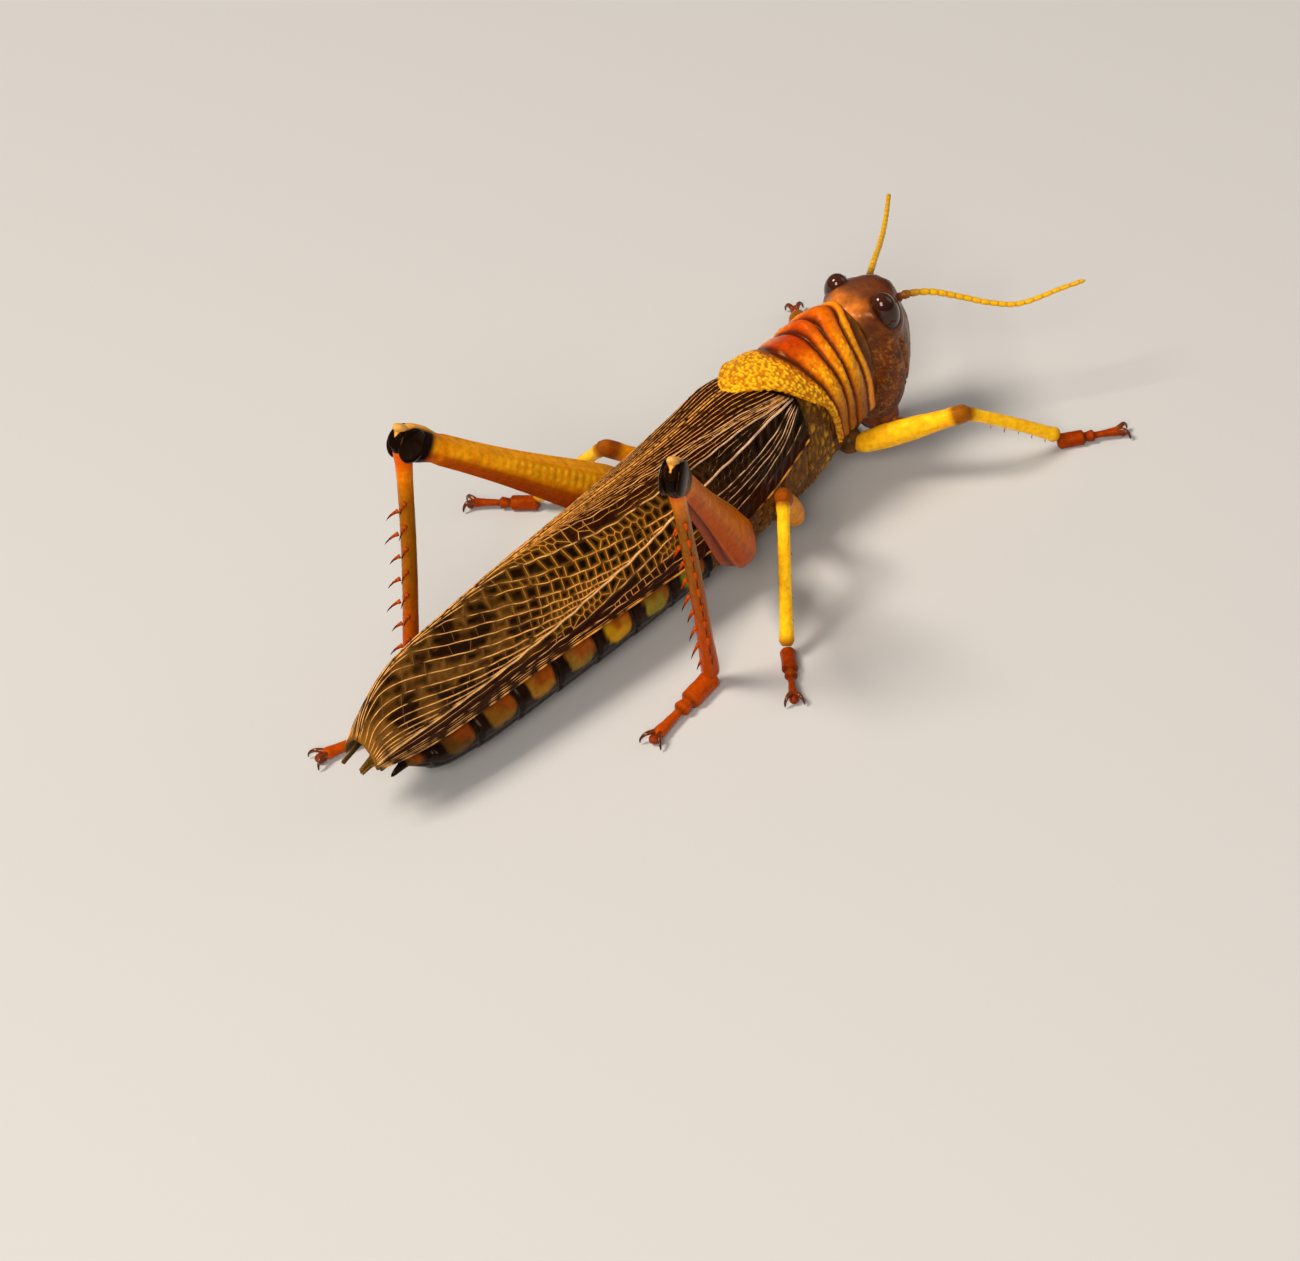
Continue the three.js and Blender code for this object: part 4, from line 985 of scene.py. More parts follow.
def bars_between(upper, lower, start, end, draw, cell_mm):
    """The bars that fill the strip between two veins with rows of many-sided cells. Seeds are
    strewn in staggered rows and mirrored in both veins; the borders between nearest seeds are
    the bars."""
    stations = [(0.0, start)]      # millimetres along the upper vein, and s there
    while stations[-1][1] < end:
        length, s = stations[-1]
        slope = (read_vein(upper, s + 0.005) - read_vein(upper, s)) / 0.005 \
            * WING_BREADTH / WING_LENGTH
        length += 0.004 * WING_LENGTH * math.sqrt(1 + slope * slope)
        stations.append((length, s + 0.004))

    def strip(length):
        """The two ends of a line straight across the strip, and its width in millimetres."""
        s = between(stations, length)[0]
        low, high = read_vein(upper, s), read_vein(lower, s)
        slope = (read_vein(upper, s + 0.01) - low) / 0.01 * WING_BREADTH / WING_LENGTH
        lean = slope * (high - low) * WING_BREADTH / (1 + slope * slope) / WING_LENGTH
        far = min(end, max(start, s - lean))
        width = max(0.05, (high - low) * WING_BREADTH / math.sqrt(1 + slope * slope))
        return (s, low), (far, read_vein(lower, far)), width

    seeds = []
    length = 0.2
    while length < stations[-1][0]:
        (s, _), _, width = strip(length)
        rows = max(1, min(4, round(width / cell_mm)))
        pitch = max(0.55, min(1.6, width / rows)) * (1.05 if rows > 1 else draw.uniform(0.8, 1.3))
        pitch *= 1 + step(0.55, 0.85, s) * (0.5 + 1.5 * draw.random())
        if width > 0.3:
            for r in range(rows):
                along = length + (pitch / 2 if r % 2 else 0.0) + draw.uniform(-0.16, 0.16) * pitch
                stray = draw.uniform(-0.10, 0.10) / rows if rows > 1 else 0.0
                height = width * ((r + 0.5) / rows + stray)
                seeds.append((along, height))
                if r == 0:
                    seeds.append((along, -height))
                if r == rows - 1:
                    seeds.append((along, 2 * width - height))
        length += pitch
    if len(seeds) < 5:
        return []
    corners, _, faces = geometry.delaunay_2d_cdt([Vector(p) for p in seeds], [], [], 0, 1e-6)[:3]
    shared = {}
    for face in faces:
        centre = ring_centre(*[corners[i] for i in face])
        if centre:
            for i in range(3):
                shared.setdefault(frozenset((face[i], face[i - 1])), []).append(centre)
    bars = []
    for pair in shared.values():
        if len(pair) < 2:
            continue
        first, second = pair
        if math.dist(first, second) > 4.0 or max(abs(first[1]), abs(second[1])) > 12:
            continue      # a stray pair at the rim of the strewn seeds
        ends = []
        for (px, py), (qx, qy) in ((first, second), (second, first)):
            near, far, width = strip(px)
            share = py / width
            if share < 0 or share > 1:
                edge = 0.0 if share < 0 else width
                if abs(qy - py) < 1e-6:
                    continue
                t = (edge - py) / (qy - py)
                if not 0 <= t <= 1:
                    continue
                near, far, width = strip(px + (qx - px) * t)
                share = 0.0 if edge == 0 else 1.0
            ends.append((near[0] + (far[0] - near[0]) * share,
                         near[1] + (far[1] - near[1]) * share, share))
        if len(ends) == 2 and not (ends[0][2] == ends[1][2] and ends[0][2] in (0.0, 1.0)):
            for k in (0, 1):
                if ends[k][2] == 1.0 and ends[1 - k][2] == 0.0:
                    s = ends[k][0] + draw.uniform(-0.35, 0.35) * cell_mm / WING_LENGTH
                    ends[k] = (s, read_vein(lower, s), 1.0)
            bars.append((ends[0][:2], ends[1][:2], NET_DIM))
    return bars


def vein_between(upper, lower, part, start, end, wave=0.0):
    """A finer vein that runs a share of the way down between two others, a little wavy."""
    line = []
    for i in range(25):
        s = start + (end - start) * i / 24
        high, low = read_vein(upper, s), read_vein(lower, s)
        line.append((s, high + (low - high) * part + wave * math.sin(95 * s + 9 * part)))
    return line


def wing_net(seed):
    """Every strong vein as (vein, start, end, width at its root and tip in mm, paleness), and
    every thin bar as (one end, other end, dimness)."""
    draw = random.Random(seed)
    strong = [(RADIUS, 0.0, 1.0, 0.34, 0.24, 1.0), (SUBCOSTA, 0.0, 1.0, 0.18, 0.12, 0.8),
              (COSTA, 0.0, 1.0, 0.15, 0.12, 0.7), (FORK_VEIN, 0.0, 0.52, 0.16, 0.10, 0.8),
              (MARGIN, 0.0, 1.0, 0.30, 0.22, 0.2), (CUBITUS, 0.0, 0.69, 0.24, 0.14, 0.8),
              (ANAL, 0.0, 0.62, 0.19, 0.10, 0.7), (FOLD, 0.0, 0.56, 0.17, 0.10, 0.7),
              (HINGE, 0.0, 1.0, 0.24, 0.12, 0.3)]
    for branch in BRANCHES:
        strong.append((branch, branch[0][0], branch[-1][0], 0.20, 0.10, 0.5))
    # Close-set veins of the back strip and of the shoulder, with slanting wrinkles between them.
    rails = [HINGE]
    for k in range(6):
        rails.append([(0.0, 0.036 + k * 0.042), (0.12, 0.032 + k * 0.034),
                      (0.30, 0.024 + k * 0.026), (0.58, 0.014 + k * 0.014)])
    rails += [FOLD, vein_between(FOLD, ANAL, 0.35, 0.0, 0.50),
              vein_between(FOLD, ANAL, 0.7, 0.0, 0.46), ANAL,
              vein_between(ANAL, CUBITUS, 0.35, 0.0, 0.48),
              vein_between(ANAL, CUBITUS, 0.7, 0.0, 0.40), CUBITUS]
    for rail in rails:
        if rail not in (HINGE, FOLD, ANAL, CUBITUS):
            strong.append((rail, 0.0, rail[-1][0], 0.12, 0.07, STRIP_PALE))

    def root_vein(upper, lower, part, end):
        vein = vein_between(upper, lower, part, ROOT_START, end, 0.004)
        strong.append((vein, ROOT_START, vein[-1][0], 0.10, 0.05, SHOULDER_PALE))
        return vein

    shoulder = [CUBITUS, root_vein(CUBITUS, RADIUS, 0.34, 0.22),
                root_vein(CUBITUS, RADIUS, 0.68, 0.22), RADIUS,
                SUBCOSTA, root_vein(SUBCOSTA, FORK_VEIN, 0.5, 0.28), FORK_VEIN,
                root_vein(FORK_VEIN, COSTA, 0.5, 0.32), COSTA,
                root_vein(COSTA, MARGIN, 0.4, 0.46), MARGIN]
    # Three fine veins that run beside the lower edge to the tip.
    for share, start in ((0.84, 0.60), (0.925, 0.52), (0.965, 0.40)):
        edge_vein = [(0.0, share + 0.02), (0.7, share), (1.0, share)]
        strong.append((edge_vein, start, 1.0, 0.09, 0.07, 0.4))
    bars = []
    tails = BRANCHES + [RADIUS]
    for k, branch in enumerate(BRANCHES):
        below = tails[k + 1]
        joined = below[0][0] if below is not RADIUS else 2.0
        first, last = branch[0][0], min(branch[-1][0], 0.99)
        if joined > first:
            bars += bars_between(branch, RADIUS, first + 0.015, min(joined, last), draw, 1.3)
        if joined < branch[-1][0]:
            bars += bars_between(branch, below, joined, last, draw, 1.3)
    for upper, lower, start, end, cell_mm in (
            (CUBITUS, RADIUS, 0.20, 0.24, 1.2), (ANAL, CUBITUS, 0.44, 0.61, 1.2),
            (FOLD, ANAL, 0.46, 0.56, 1.1), (CUBITUS, BRANCHES[0], 0.24, 0.68, 1.3),
            (RADIUS, SUBCOSTA, 0.12, 0.62, 1.2), (SUBCOSTA, FORK_VEIN, 0.30, 0.44, 1.0),
            (FORK_VEIN, COSTA, 0.36, 0.50, 1.0)):
        bars += bars_between(upper, lower, start, end, draw, cell_mm)
    for upper, lower in zip(rails, rails[1:]):
        s, end = 0.03, min(upper[-1][0], lower[-1][0], 0.60) - 0.03
        while s < end:
            bars.append(((s, read_vein(upper, s)), (s + 0.012, read_vein(lower, s + 0.012)),
                         WRINKLE_DIM))
            s += draw.uniform(0.014, 0.038)
    for upper, lower in zip(shoulder, shoulder[1:]):
        s, end = 0.03, min(0.30, upper[-1][0], lower[-1][0]) - 0.01
        while s < end:
            high, low = read_vein(upper, s), read_vein(lower, s + 0.010)
            knee = (s + draw.uniform(-0.004, 0.012), high + (low - high) * draw.uniform(0.35, 0.65))
            bars += [((s, high), knee, FOLD_DIM), (knee, (s + 0.010, low), FOLD_DIM)]
            s += draw.uniform(0.010, 0.026)
    return strong, bars


# Wing membrane: leathery, waxy and lightly wrinkled. Vein cuticle: thicker and glossier.
membrane_finish = cuticle("waxed_wing_membrane", 0.55, grain_mm=0.30, bump=0.30, sheen="#8a6840",
                          ior=1.28)
vein_finish = cuticle("horny_wing_vein", 0.28, coat=0.20, bump=0.10)
CELL_DARK, CELL_BROWN, HALO_OLIVE = linear("#120803"), linear("#341a0a"), linear("#7c5414")
TIP_SMOKE, ROOT_BLACK, EDGE_AMBER = linear("#6c4618"), linear("#0d0705"), linear("#8a5a18")
STRIP_BROWN, VEIN_SHEEN_SILVER = linear("#2c1107"), linear("#dcb494")
VEIN_CREAM, VEIN_GOLD, VEIN_TIP = linear("#ecb878"), linear("#f69e22"), linear("#ecb068")
# Along a vein as long as the wing: the places noted on it, and the rings of its mesh.
PLACES_PER_WING, RINGS_PER_WING = 200, 170


def vein_tint(s, pale):
    """Veins are silvery at the root, a painted sheen that stands in for their shine, cream on the
    main vein, golden in the middle and paler again at the tip."""
    silver = 0.85 * step(0.36, 0.14, s) * step(0.5, 0.8, pale)
    tone = mixed(mixed(VEIN_GOLD, VEIN_CREAM, pale), VEIN_SHEEN_SILVER, silver)
    return mixed(tone, VEIN_TIP, 0.8 * step(0.55, 0.8, s) * (1 - 0.6 * pale))


for label, side in SIDES:
    strong, bars = wing_net(5 + side)

    def wing_spot(s, share, lift):
        """A point this far above the blade's face, in millimetres; on_wing gives metres."""
        spot, out = wing_frame(min(1.0, max(0.0, s)), share)
        spot = spot + out * lift
        return Vector((spot.x, spot.y * side, spot.z))

    def on_wing(s, share, lift):
        return at(*wing_spot(s, share, lift))

    def facing(s, share):
        out = wing_frame(s, share)[1]
        return Vector((out.x, out.y * side, out.z))

    # Places along every vein and bar, close enough together to tell how near the next one is.
    places = []
    for vein, start, end, wide, thin, pale in strong:
        count = int((end - start) * PLACES_PER_WING)
        for s in [start + (end - start) * i / count for i in range(count + 1)]:
            places.append(on_wing(s, read_vein(vein, s), 0.0))
    for a, b, dim in bars:
        for k in range(6):
            places.append(on_wing(a[0] + (b[0] - a[0]) * k / 5, a[1] + (b[1] - a[1]) * k / 5, 0.0))
    tree_of_veins = kdtree.KDTree(len(places))
    for i, place in enumerate(places):
        tree_of_veins.insert(place, i)
    tree_of_veins.balance()

    def hollow(s, share):
        """How far a point is from the nearest vein, from 0 on it to 1 in the middle of a cell."""
        return step(0.05, 0.62, tree_of_veins.find(on_wing(s, share, 0.0))[2] / MM)

    def membrane_point(u, v):
        deep = hollow(v, u)
        return wing_spot(v, u, 0.02 - 0.16 * deep * (1 - 0.5 * step(0.6, 0.95, v))), deep

    def membrane_paint(u, v, point, deep):
        place = at(*point) / MM
        blotch = noise.noise(place * 0.3)
        tone = mixed(HALO_OLIVE, CELL_DARK, 0.12 + 1.3 * deep)
        tone = mixed(tone, CELL_DARK, 0.95 * step(0.34, 0.18, v))
        cloud = 1.5 * blotch + 0.5 * noise.noise(place * 1.1)
        smoke = mixed(TIP_SMOKE, CELL_DARK, 0.42 + 0.55 * deep + cloud)
        tone = mixed(tone, smoke, step(0.52, 0.78, v))
        tone = mixed(tone, CELL_BROWN, 0.15 + 0.6 * blotch)
        back = step(0.36, 0.27, u) * step(0.60, 0.44, v)
        tone = mixed(tone, STRIP_BROWN, 0.94 * max(step(0.79, 0.85, u), back))
        tone = mixed(tone, EDGE_AMBER, 0.5 * step(0.975, 1.0, v))
        root = step(0.07, 0.0, v) * step(0.30, 0.40, u) * step(0.75, 0.6, u)
        return mixed(tone, ROOT_BLACK, 0.9 * root)

    membrane = grid_skin(f"forewing_{label}_membrane", 130, 330, membrane_point, membrane_paint,
                         membrane_finish)
    give_wall(membrane, WING_WALL)
    stand_in(membrane, "forewing", f"forewing_{label}")

    # The strong veins: tapering, rounded and half sunk in the membrane.
    bm, layer = painted_bmesh()
    for vein, start, end, wide, thin, pale in strong:
        last = max(8, int((end - start) * RINGS_PER_WING))
        # How brown a vein is between its painted glints, and how often per millimetre these come.
        dim = 0.35 if vein is RADIUS else 2.4 if pale == SHOULDER_PALE else 0.9
        rate = 2.6 if pale == STRIP_PALE else 0.8
        line = [start + (end - start) * i / last for i in range(last + 1)]
        spots = [on_wing(s, read_vein(vein, s), 0.0) for s in line]
        made = bmesh.ops.create_grid(bm, x_segments=7, y_segments=last, size=0.5)
        for vert in made["verts"]:
            u, v = vert.co.x + 0.5, vert.co.y + 0.5
            i = min(last, round(v * last))
            along = (spots[min(i + 1, last)] - spots[max(i - 1, 0)]).normalized()
            up = facing(line[i], read_vein(vein, line[i]))
            sideways = along.cross(up).normalized()
            half = (wide + (thin - wide) * v) / 2 * MM * (0.0 if i in (0, last) else 1.0)
            angle = 2 * math.pi * u
            vert.co = spots[i] + sideways * half * math.cos(angle) \
                + up * half * (0.85 * math.sin(angle) + 0.2)
            # Painted glints: each vein's paint brightens and browns in patches along it, and is
            # browner near the lower edge.
            glint_gap = 0.5 + 1.2 * noise.noise(spots[i] / MM * rate)
            glint_gap += 0.3 * step(0.8, 0.9, read_vein(vein, line[i]))
            vert[layer] = mixed(vein_tint(line[i], pale), CELL_BROWN, dim * glint_gap * glint_gap)
    bmesh.ops.remove_doubles(bm, verts=bm.verts, dist=1e-7)
    bmesh.ops.recalc_face_normals(bm, faces=bm.faces)
    veins = mesh_object(f"forewing_{label}_veins", bm, vein_finish)
    stand_in(veins, "forewing", f"forewing_{label}")

    # The thin cross veins: short straight bars from knot to knot.
    bm, layer = painted_bmesh()
    for a, b, dim in bars:
        first, second = on_wing(*a, 0.02), on_wing(*b, 0.02)
        reach = (second - first).length
        if reach > 0.1 * MM:
            up = facing(min(1.0, a[0]), a[1])
            along = (second - first).normalized()
            aside = up.cross(along)
            turn = Matrix((aside.normalized(), along.cross(aside).normalized(), along)).transposed()
            spot = Matrix.Translation((first + second) / 2) @ turn.to_4x4()
            thick = 0.07 - 0.035 * step(0.55, 0.75, a[0]) if dim == NET_DIM else 0.035
            browned = dim + 0.45 * step(0.52, 0.72, a[0]) + 0.6 * step(0.42, 0.24, a[0])
            tint = mixed(vein_tint(a[0], 0.1), CELL_BROWN, browned)
            made = bmesh.ops.create_cone(bm, cap_ends=False, segments=6, radius1=thick * MM,
                                         radius2=thick * MM, depth=reach + 0.05 * MM, matrix=spot)
            for vert in made["verts"]:
                vert[layer] = tint
    net = mesh_object(f"forewing_{label}_cross_veins", bm, vein_finish)
    stand_in(net, "forewing", f"forewing_{label}")

# ---------------------------------------------------------------- hind wings
# Under each fore wing lies the folded fan of the hind wing: thin smoky membrane pleated many
# times, of which only the lower edge and the tip show.

FAN_ROOT, FAN_TIP = -32.0, -93.4
FAN_PLEATS = 14
FAN_DEPTH, PLEAT_HEIGHT = 0.95, 0.07      # millimetres under the fore wing's face, and of a pleat
FAN_SMOKE, FAN_RIB = linear("#3c2c14"), linear("#7c5a24")


def fan_point(u, v, side):
    x = FAN_ROOT + (FAN_TIP - FAN_ROOT) * v
    taper = step(-76.0, -89.4, x)
    upper = 0.27 + 0.28 * taper
    lower = 0.97 - 0.22 * step(-88.0, -93.4, x) ** 2
    share = upper + (lower - upper) * u
    depth = FAN_DEPTH - PLEAT_HEIGHT * math.cos(2 * math.pi * u * FAN_PLEATS)
    spot = wing_face(x, share) - wing_facing(x, share) * depth
    return (Vector((spot.x, spot.y * side, spot.z)),)


def fan_paint(u, v, point):
    return mixed(FAN_SMOKE, FAN_RIB, 0.5 + 0.5 * math.cos(2 * math.pi * u * FAN_PLEATS))


for label, side in SIDES:
    fan = grid_skin(f"hindwing_{label}_fan", 112, 150, partial(fan_point, side=side), fan_paint,
                    membrane_finish)
    give_wall(fan, WING_WALL)
    stand_in(fan, "hindwing", f"hindwing_{label}")

# ---------------------------------------------------------------- legs
# Every leg is a chain of stiff horn tubes: coxa, femur, tibia and a three-jointed foot with two
# claws. The great hind femora are keeled and herringboned, with black knees, for the jump.

ANKLE_HEIGHT = 1.9
# Each form gives rows of share along, half height and half width for the femur and the tibia,
# how far the tibia bows, the coxa's radius, the spines' number and length, and the foot's size.
FRONT = {
    "femur": [(0, 0.8, 0.8), (0.06, 1.3, 1.2), (0.28, 1.8, 1.5), (0.55, 1.7, 1.4),
              (0.82, 1.3, 1.15), (0.93, 1.35, 1.2), (1, 1.2, 1.1), (1.05, 0.6, 0.6)],
    "tibia": [(0, 0.6, 0.6), (0.06, 1.0, 0.9), (0.14, 0.82, 0.78), (0.5, 0.86, 0.8),
              (0.86, 0.92, 0.84), (0.96, 1.0, 0.95), (1, 0.6, 0.6)],
    "bow": 0.3, "coxa": 1.9, "spines": 5, "spine": 1.0, "foot": 9.0, "foot_width": 1.0,
}
MIDDLE_LEG = {
    **FRONT, "femur": [(t, high * 0.95, wide * 0.95) for t, high, wide in FRONT["femur"]],
    "foot": 9.6,
}
HIND = {
    "femur": [(0, 1.4, 1.2), (0.04, 2.1, 1.6), (0.11, 2.95, 2.1), (0.19, 3.3, 2.25),
              (0.3, 3.05, 2.1), (0.45, 2.5, 1.85), (0.6, 2.05, 1.6), (0.75, 1.8, 1.4),
              (0.87, 1.75, 1.3), (0.94, 2.3, 1.55), (0.99, 2.2, 1.5), (1.03, 1.2, 0.95)],
    "tibia": [(0, 0.9, 0.8), (0.03, 1.35, 1.15), (0.08, 1.15, 1.0), (0.2, 1.0, 0.9),
              (0.5, 1.0, 0.9), (0.8, 1.1, 0.95), (0.94, 1.25, 1.1), (0.985, 1.3, 1.15),
              (1, 0.8, 0.8)],
    "bow": -0.6, "coxa": 2.2, "spines": 9, "spine": 2.1, "foot": 13.2, "foot_width": 1.3,
}
# Label, form, hip, knee, where the ankle stands and which way the toes point.
LEGS = [
    ("front_left", FRONT,
     (-9.5, 5.2, -14.8), (1.2, 13.4, -8.6), (8.6, 21.2), (0.66, 0.75)),
    ("front_right", FRONT,
     (-9.5, -5.2, -14.8), (-0.8, -16.6, -10.4), (11.1, -20.9), (0.77, -0.64)),
    ("middle_left", MIDDLE_LEG,
     (-22.5, 6.4, -17.6), (-35.1, 13.2, -6.9), (-36.4, 26.3), (-0.56, 0.83)),
    ("middle_right", MIDDLE_LEG,
     (-22.5, -6.4, -17.6), (-31.9, -14.6, -4.7), (-40.4, -20.8), (-0.68, -0.73)),
    ("hind_left", HIND,
     (-34.0, 8.8, -14.6), (-68.2, 10.8, 16.0), (-76.5, 8.8), (-0.93, 0.33)),
    ("hind_right", HIND,
     (-34.0, -8.8, -14.6), (-57.8, -24.4, 19.4), (-49.6, -16.6), (-0.99, -0.15)),
]


def limb_skin(name, start, end, across, rows, columns, count, bow, relief, paint, material):
    """A limb segment: a tube with an oval section from a table, a slight bow, and relief. Relief
    gets the share along, the turn round the tube and its length; paint gets the first two
    besides what every skin's paint gets."""
    axis = end - start
    along = axis.normalized()
    height = along.cross(across).normalized()
    first, last = rows[0][0], rows[-1][0]

    def limb_point(u, v):
        t = first + (last - first) * min(1.0, max(0.0, (v - CAP_SHARE) / (1 - 2 * CAP_SHARE)))
        reach = min(1.0, v / CAP_SHARE, (1 - v) / CAP_SHARE)
        high, wide = between(rows, t)
        turn = 2 * math.pi * u
        lift = relief(t, turn, axis.length)
        swing = math.sin(math.pi * min(1.0, max(0.0, t)))
        point = start + axis * t + height * (bow * swing + math.sin(turn) * (high + lift) * reach)
        return point + across * math.cos(turn) * (wide + lift) * reach, t, turn

    return grid_skin(name, columns, count, limb_point, paint, material)


def turn_gap(turn, middle):
    """How far apart two turns round a limb are, in radians."""
    return abs((turn - middle + math.pi) % (2 * math.pi) - math.pi)


# Share along, and half height and half width as shares of the foot's own width.
FOOT_ROWS = [(0, 0.6, 0.6), (0.05, 1, 1), (0.2, 1, 0.95), (0.4, 0.95, 1), (0.44, 0.6, 0.6),
             (0.56, 0.75, 0.8), (0.6, 0.42, 0.42), (0.85, 0.52, 0.52), (0.95, 0.6, 0.62),
             (1, 0.4, 0.4)]
# Millimetres from bead to bead, and of the femur that their paint is laid out for.
BEAD_PITCH, PAINTED_LENGTH = 1.3, 45
CAP_SHARE = 0.02      # share of a limb's skin that closes each end
SPINES_FROM, SPINES_SPAN = 0.22, 0.74      # shares of the tibia: where its spines start, their row


def plain_relief(t, turn, length):
    return 0.02 * math.sin(7 * turn) * math.sin(40 * t)


def thigh_relief(t, turn, length, inner):
    """A keel along the top, a groove between two keels below, two ribs on each face, and rows of
    low beads on the inner face; the outer face has a faint herringbone. Turns are counted up
    from the top of the thigh, in radians."""
    fade = step(0.05, 0.14, t) * step(0.92, 0.84, t)
    up = turn_gap(turn, math.pi / 2)
    lift = 0.26 * ridge(up, 0.12) + 0.12 * (ridge(up - 0.72, 0.09) + ridge(up - 2.12, 0.09))
    lift += 0.28 * ridge(up - 2.68, 0.13) - 0.40 * ridge(math.pi - up, 0.24)
    side = turn_gap(turn, inner)
    bead = abs(math.sin(math.pi * t * length / BEAD_PITCH)) * step(0.82, 0.60, t)
    lift += 0.09 * bead * (ridge(up - 1.02, 0.15) + ridge(up - 1.42, 0.14)) * step(1.5, 1.2, side)
    stripe = math.sin(2 * math.pi * (t * length / 1.9 - (math.pi - side) * 1.5))
    lift += 0.03 * stripe * step(2.4, 2.7, side)
    return lift * fade - 0.12 * ridge(t - 0.885, 0.012) * fade


ORANGE, AMBER_LEG, RED_EDGE = linear("#e67c06"), linear("#fca810"), linear("#ac4004")
FLANK_RUST, SHIN_HEAD = linear("#c05c00"), linear("#cc4c04")
KNEE_BLACK, YELLOW_LEG, KNEE_BROWN = linear("#100806"), linear("#ffc61c"), linear("#7a340c")
WINE, OLIVE_SHIN, EMBER = linear("#7a2606"), linear("#905208"), linear("#ac4204")
BEAD_GOLD, GROOVE_SHADE_RED, KNEE_CREAM = linear("#ffc020"), linear("#6a1a02"), linear("#dca24e")


def thigh_paint(u, v, point, t, turn, inner):
    up, side = turn_gap(turn, math.pi / 2), turn_gap(turn, inner)
    tone = mixed(AMBER_LEG, ORANGE, 0.25 + 0.5 * noise.noise(point * 0.8))
    tone = mixed(tone, RED_EDGE, 0.95 * step(1.42, 2.15, up))
    mottle = 0.7 * noise.noise(point * 0.8) + 0.5 * noise.noise(point * 3.0)
    outer = mixed(FLANK_RUST, ORANGE, 0.25 + mottle)
    # Darker red towards the lower edge: partly the thigh's own red, partly painted shade.
    outer = mixed(outer, RED_EDGE, 0.75 * step(1.72, 2.15, up))
    tone = mixed(tone, outer, step(1.30, 1.75, side))
    tone = mixed(tone, AMBER_LEG, 0.7 * step(0.55, 0.15, up))
    bead = abs(math.sin(math.pi * t * PAINTED_LENGTH / BEAD_PITCH))
    bead *= step(0.85, 0.55, t) * step(1.5, 1.2, side)
    rows = 0.9 * ridge(up - 1.02, 0.17) + 0.7 * ridge(up - 1.42, 0.15)
    tone = mixed(tone, BEAD_GOLD, bead * rows)
    # The groove underneath and a line beside the lower keel are painted dark red: partly the
    # thigh's own red, partly painted shade.
    tone = mixed(tone, GROOVE_SHADE_RED, 0.95 * ridge(math.pi - up, 0.32) + 0.25 * ridge(up - 1.9, 0.08))
    tone = mixed(tone, ORANGE, 0.6 * ridge(t - 0.865, 0.02))
    black = step(0.895, 0.925, t) * step(0.35, 0.75, up)
    tone = mixed(tone, KNEE_CREAM, 0.8 * step(0.90, 0.96, t) * step(0.9, 0.3, up))
    return mixed(tone, KNEE_BLACK, black)


def shin_paint(u, v, point, t, turn):
    tone = mixed(ORANGE, OLIVE_SHIN, step(0.06, 0.25, t))
    tone = mixed(tone, EMBER, step(0.40, 0.85, t))
    return mixed(tone, SHIN_HEAD, 0.9 * step(0.13, 0.07, t))


def small_thigh_paint(u, v, point, t, turn):
    fore = step(-20.0, -12.0, point.x)
    tone = mixed(ORANGE, YELLOW_LEG, 0.25 + 0.5 * fore + 0.4 * noise.noise(point * 0.8))
    tone = mixed(tone, EMBER, 0.5 * step(0.12, 0.0, t))
    return mixed(tone, KNEE_BROWN, 0.9 * step(0.86, 0.93, t))


def small_shin_paint(u, v, point, t, turn):
    tone = mixed(YELLOW_LEG, AMBER_LEG, 0.2 + 0.6 * noise.noise(point))
    tone = mixed(tone, KNEE_BROWN, 0.85 * step(0.10, 0.03, t))
    return mixed(tone, WINE, 0.8 * step(0.90, 0.99, t))


# Leg cuticle: hard and glossy, with fine dents. The thighs are granular and only satin, so
# their colour stays deep. Claws are polished black horn.
leg_finish = cuticle("glossy_leg_cuticle", 0.26, grain_mm=0.22, spread=0.20, sheen="#ffae48",
                     ior=1.22)
thigh_finish = cuticle("satin_thigh_cuticle", 0.36, grain_mm=0.30, bump=0.45, spread=0.24,
                       sheen="#ff8a20", ior=1.13)
claw_finish = cuticle("black_claw_horn", 0.2, coat=0.4, grain_mm=0.2, bump=0.05, spread=0.1)


def ball(bm, layer, place, radii, turn, tint):
    """Adds an ellipsoid bulge in millimetres."""
    size = Matrix.Diagonal((radii[0] * MM, radii[1] * MM, radii[2] * MM, 1.0))
    made = bmesh.ops.create_uvsphere(bm, u_segments=24, v_segments=16, radius=1.0,
                                     matrix=Matrix.Translation(at(*place)) @ turn.to_4x4() @ size)
    for vert in made["verts"]:
        vert[layer] = tint


def coxa_paint(u, v, point):
    return mixed(TAWNY, DARK_MOTTLE_AND_SHADE, 0.35 + 0.9 * noise.noise(at(*point) / MM * 0.7))


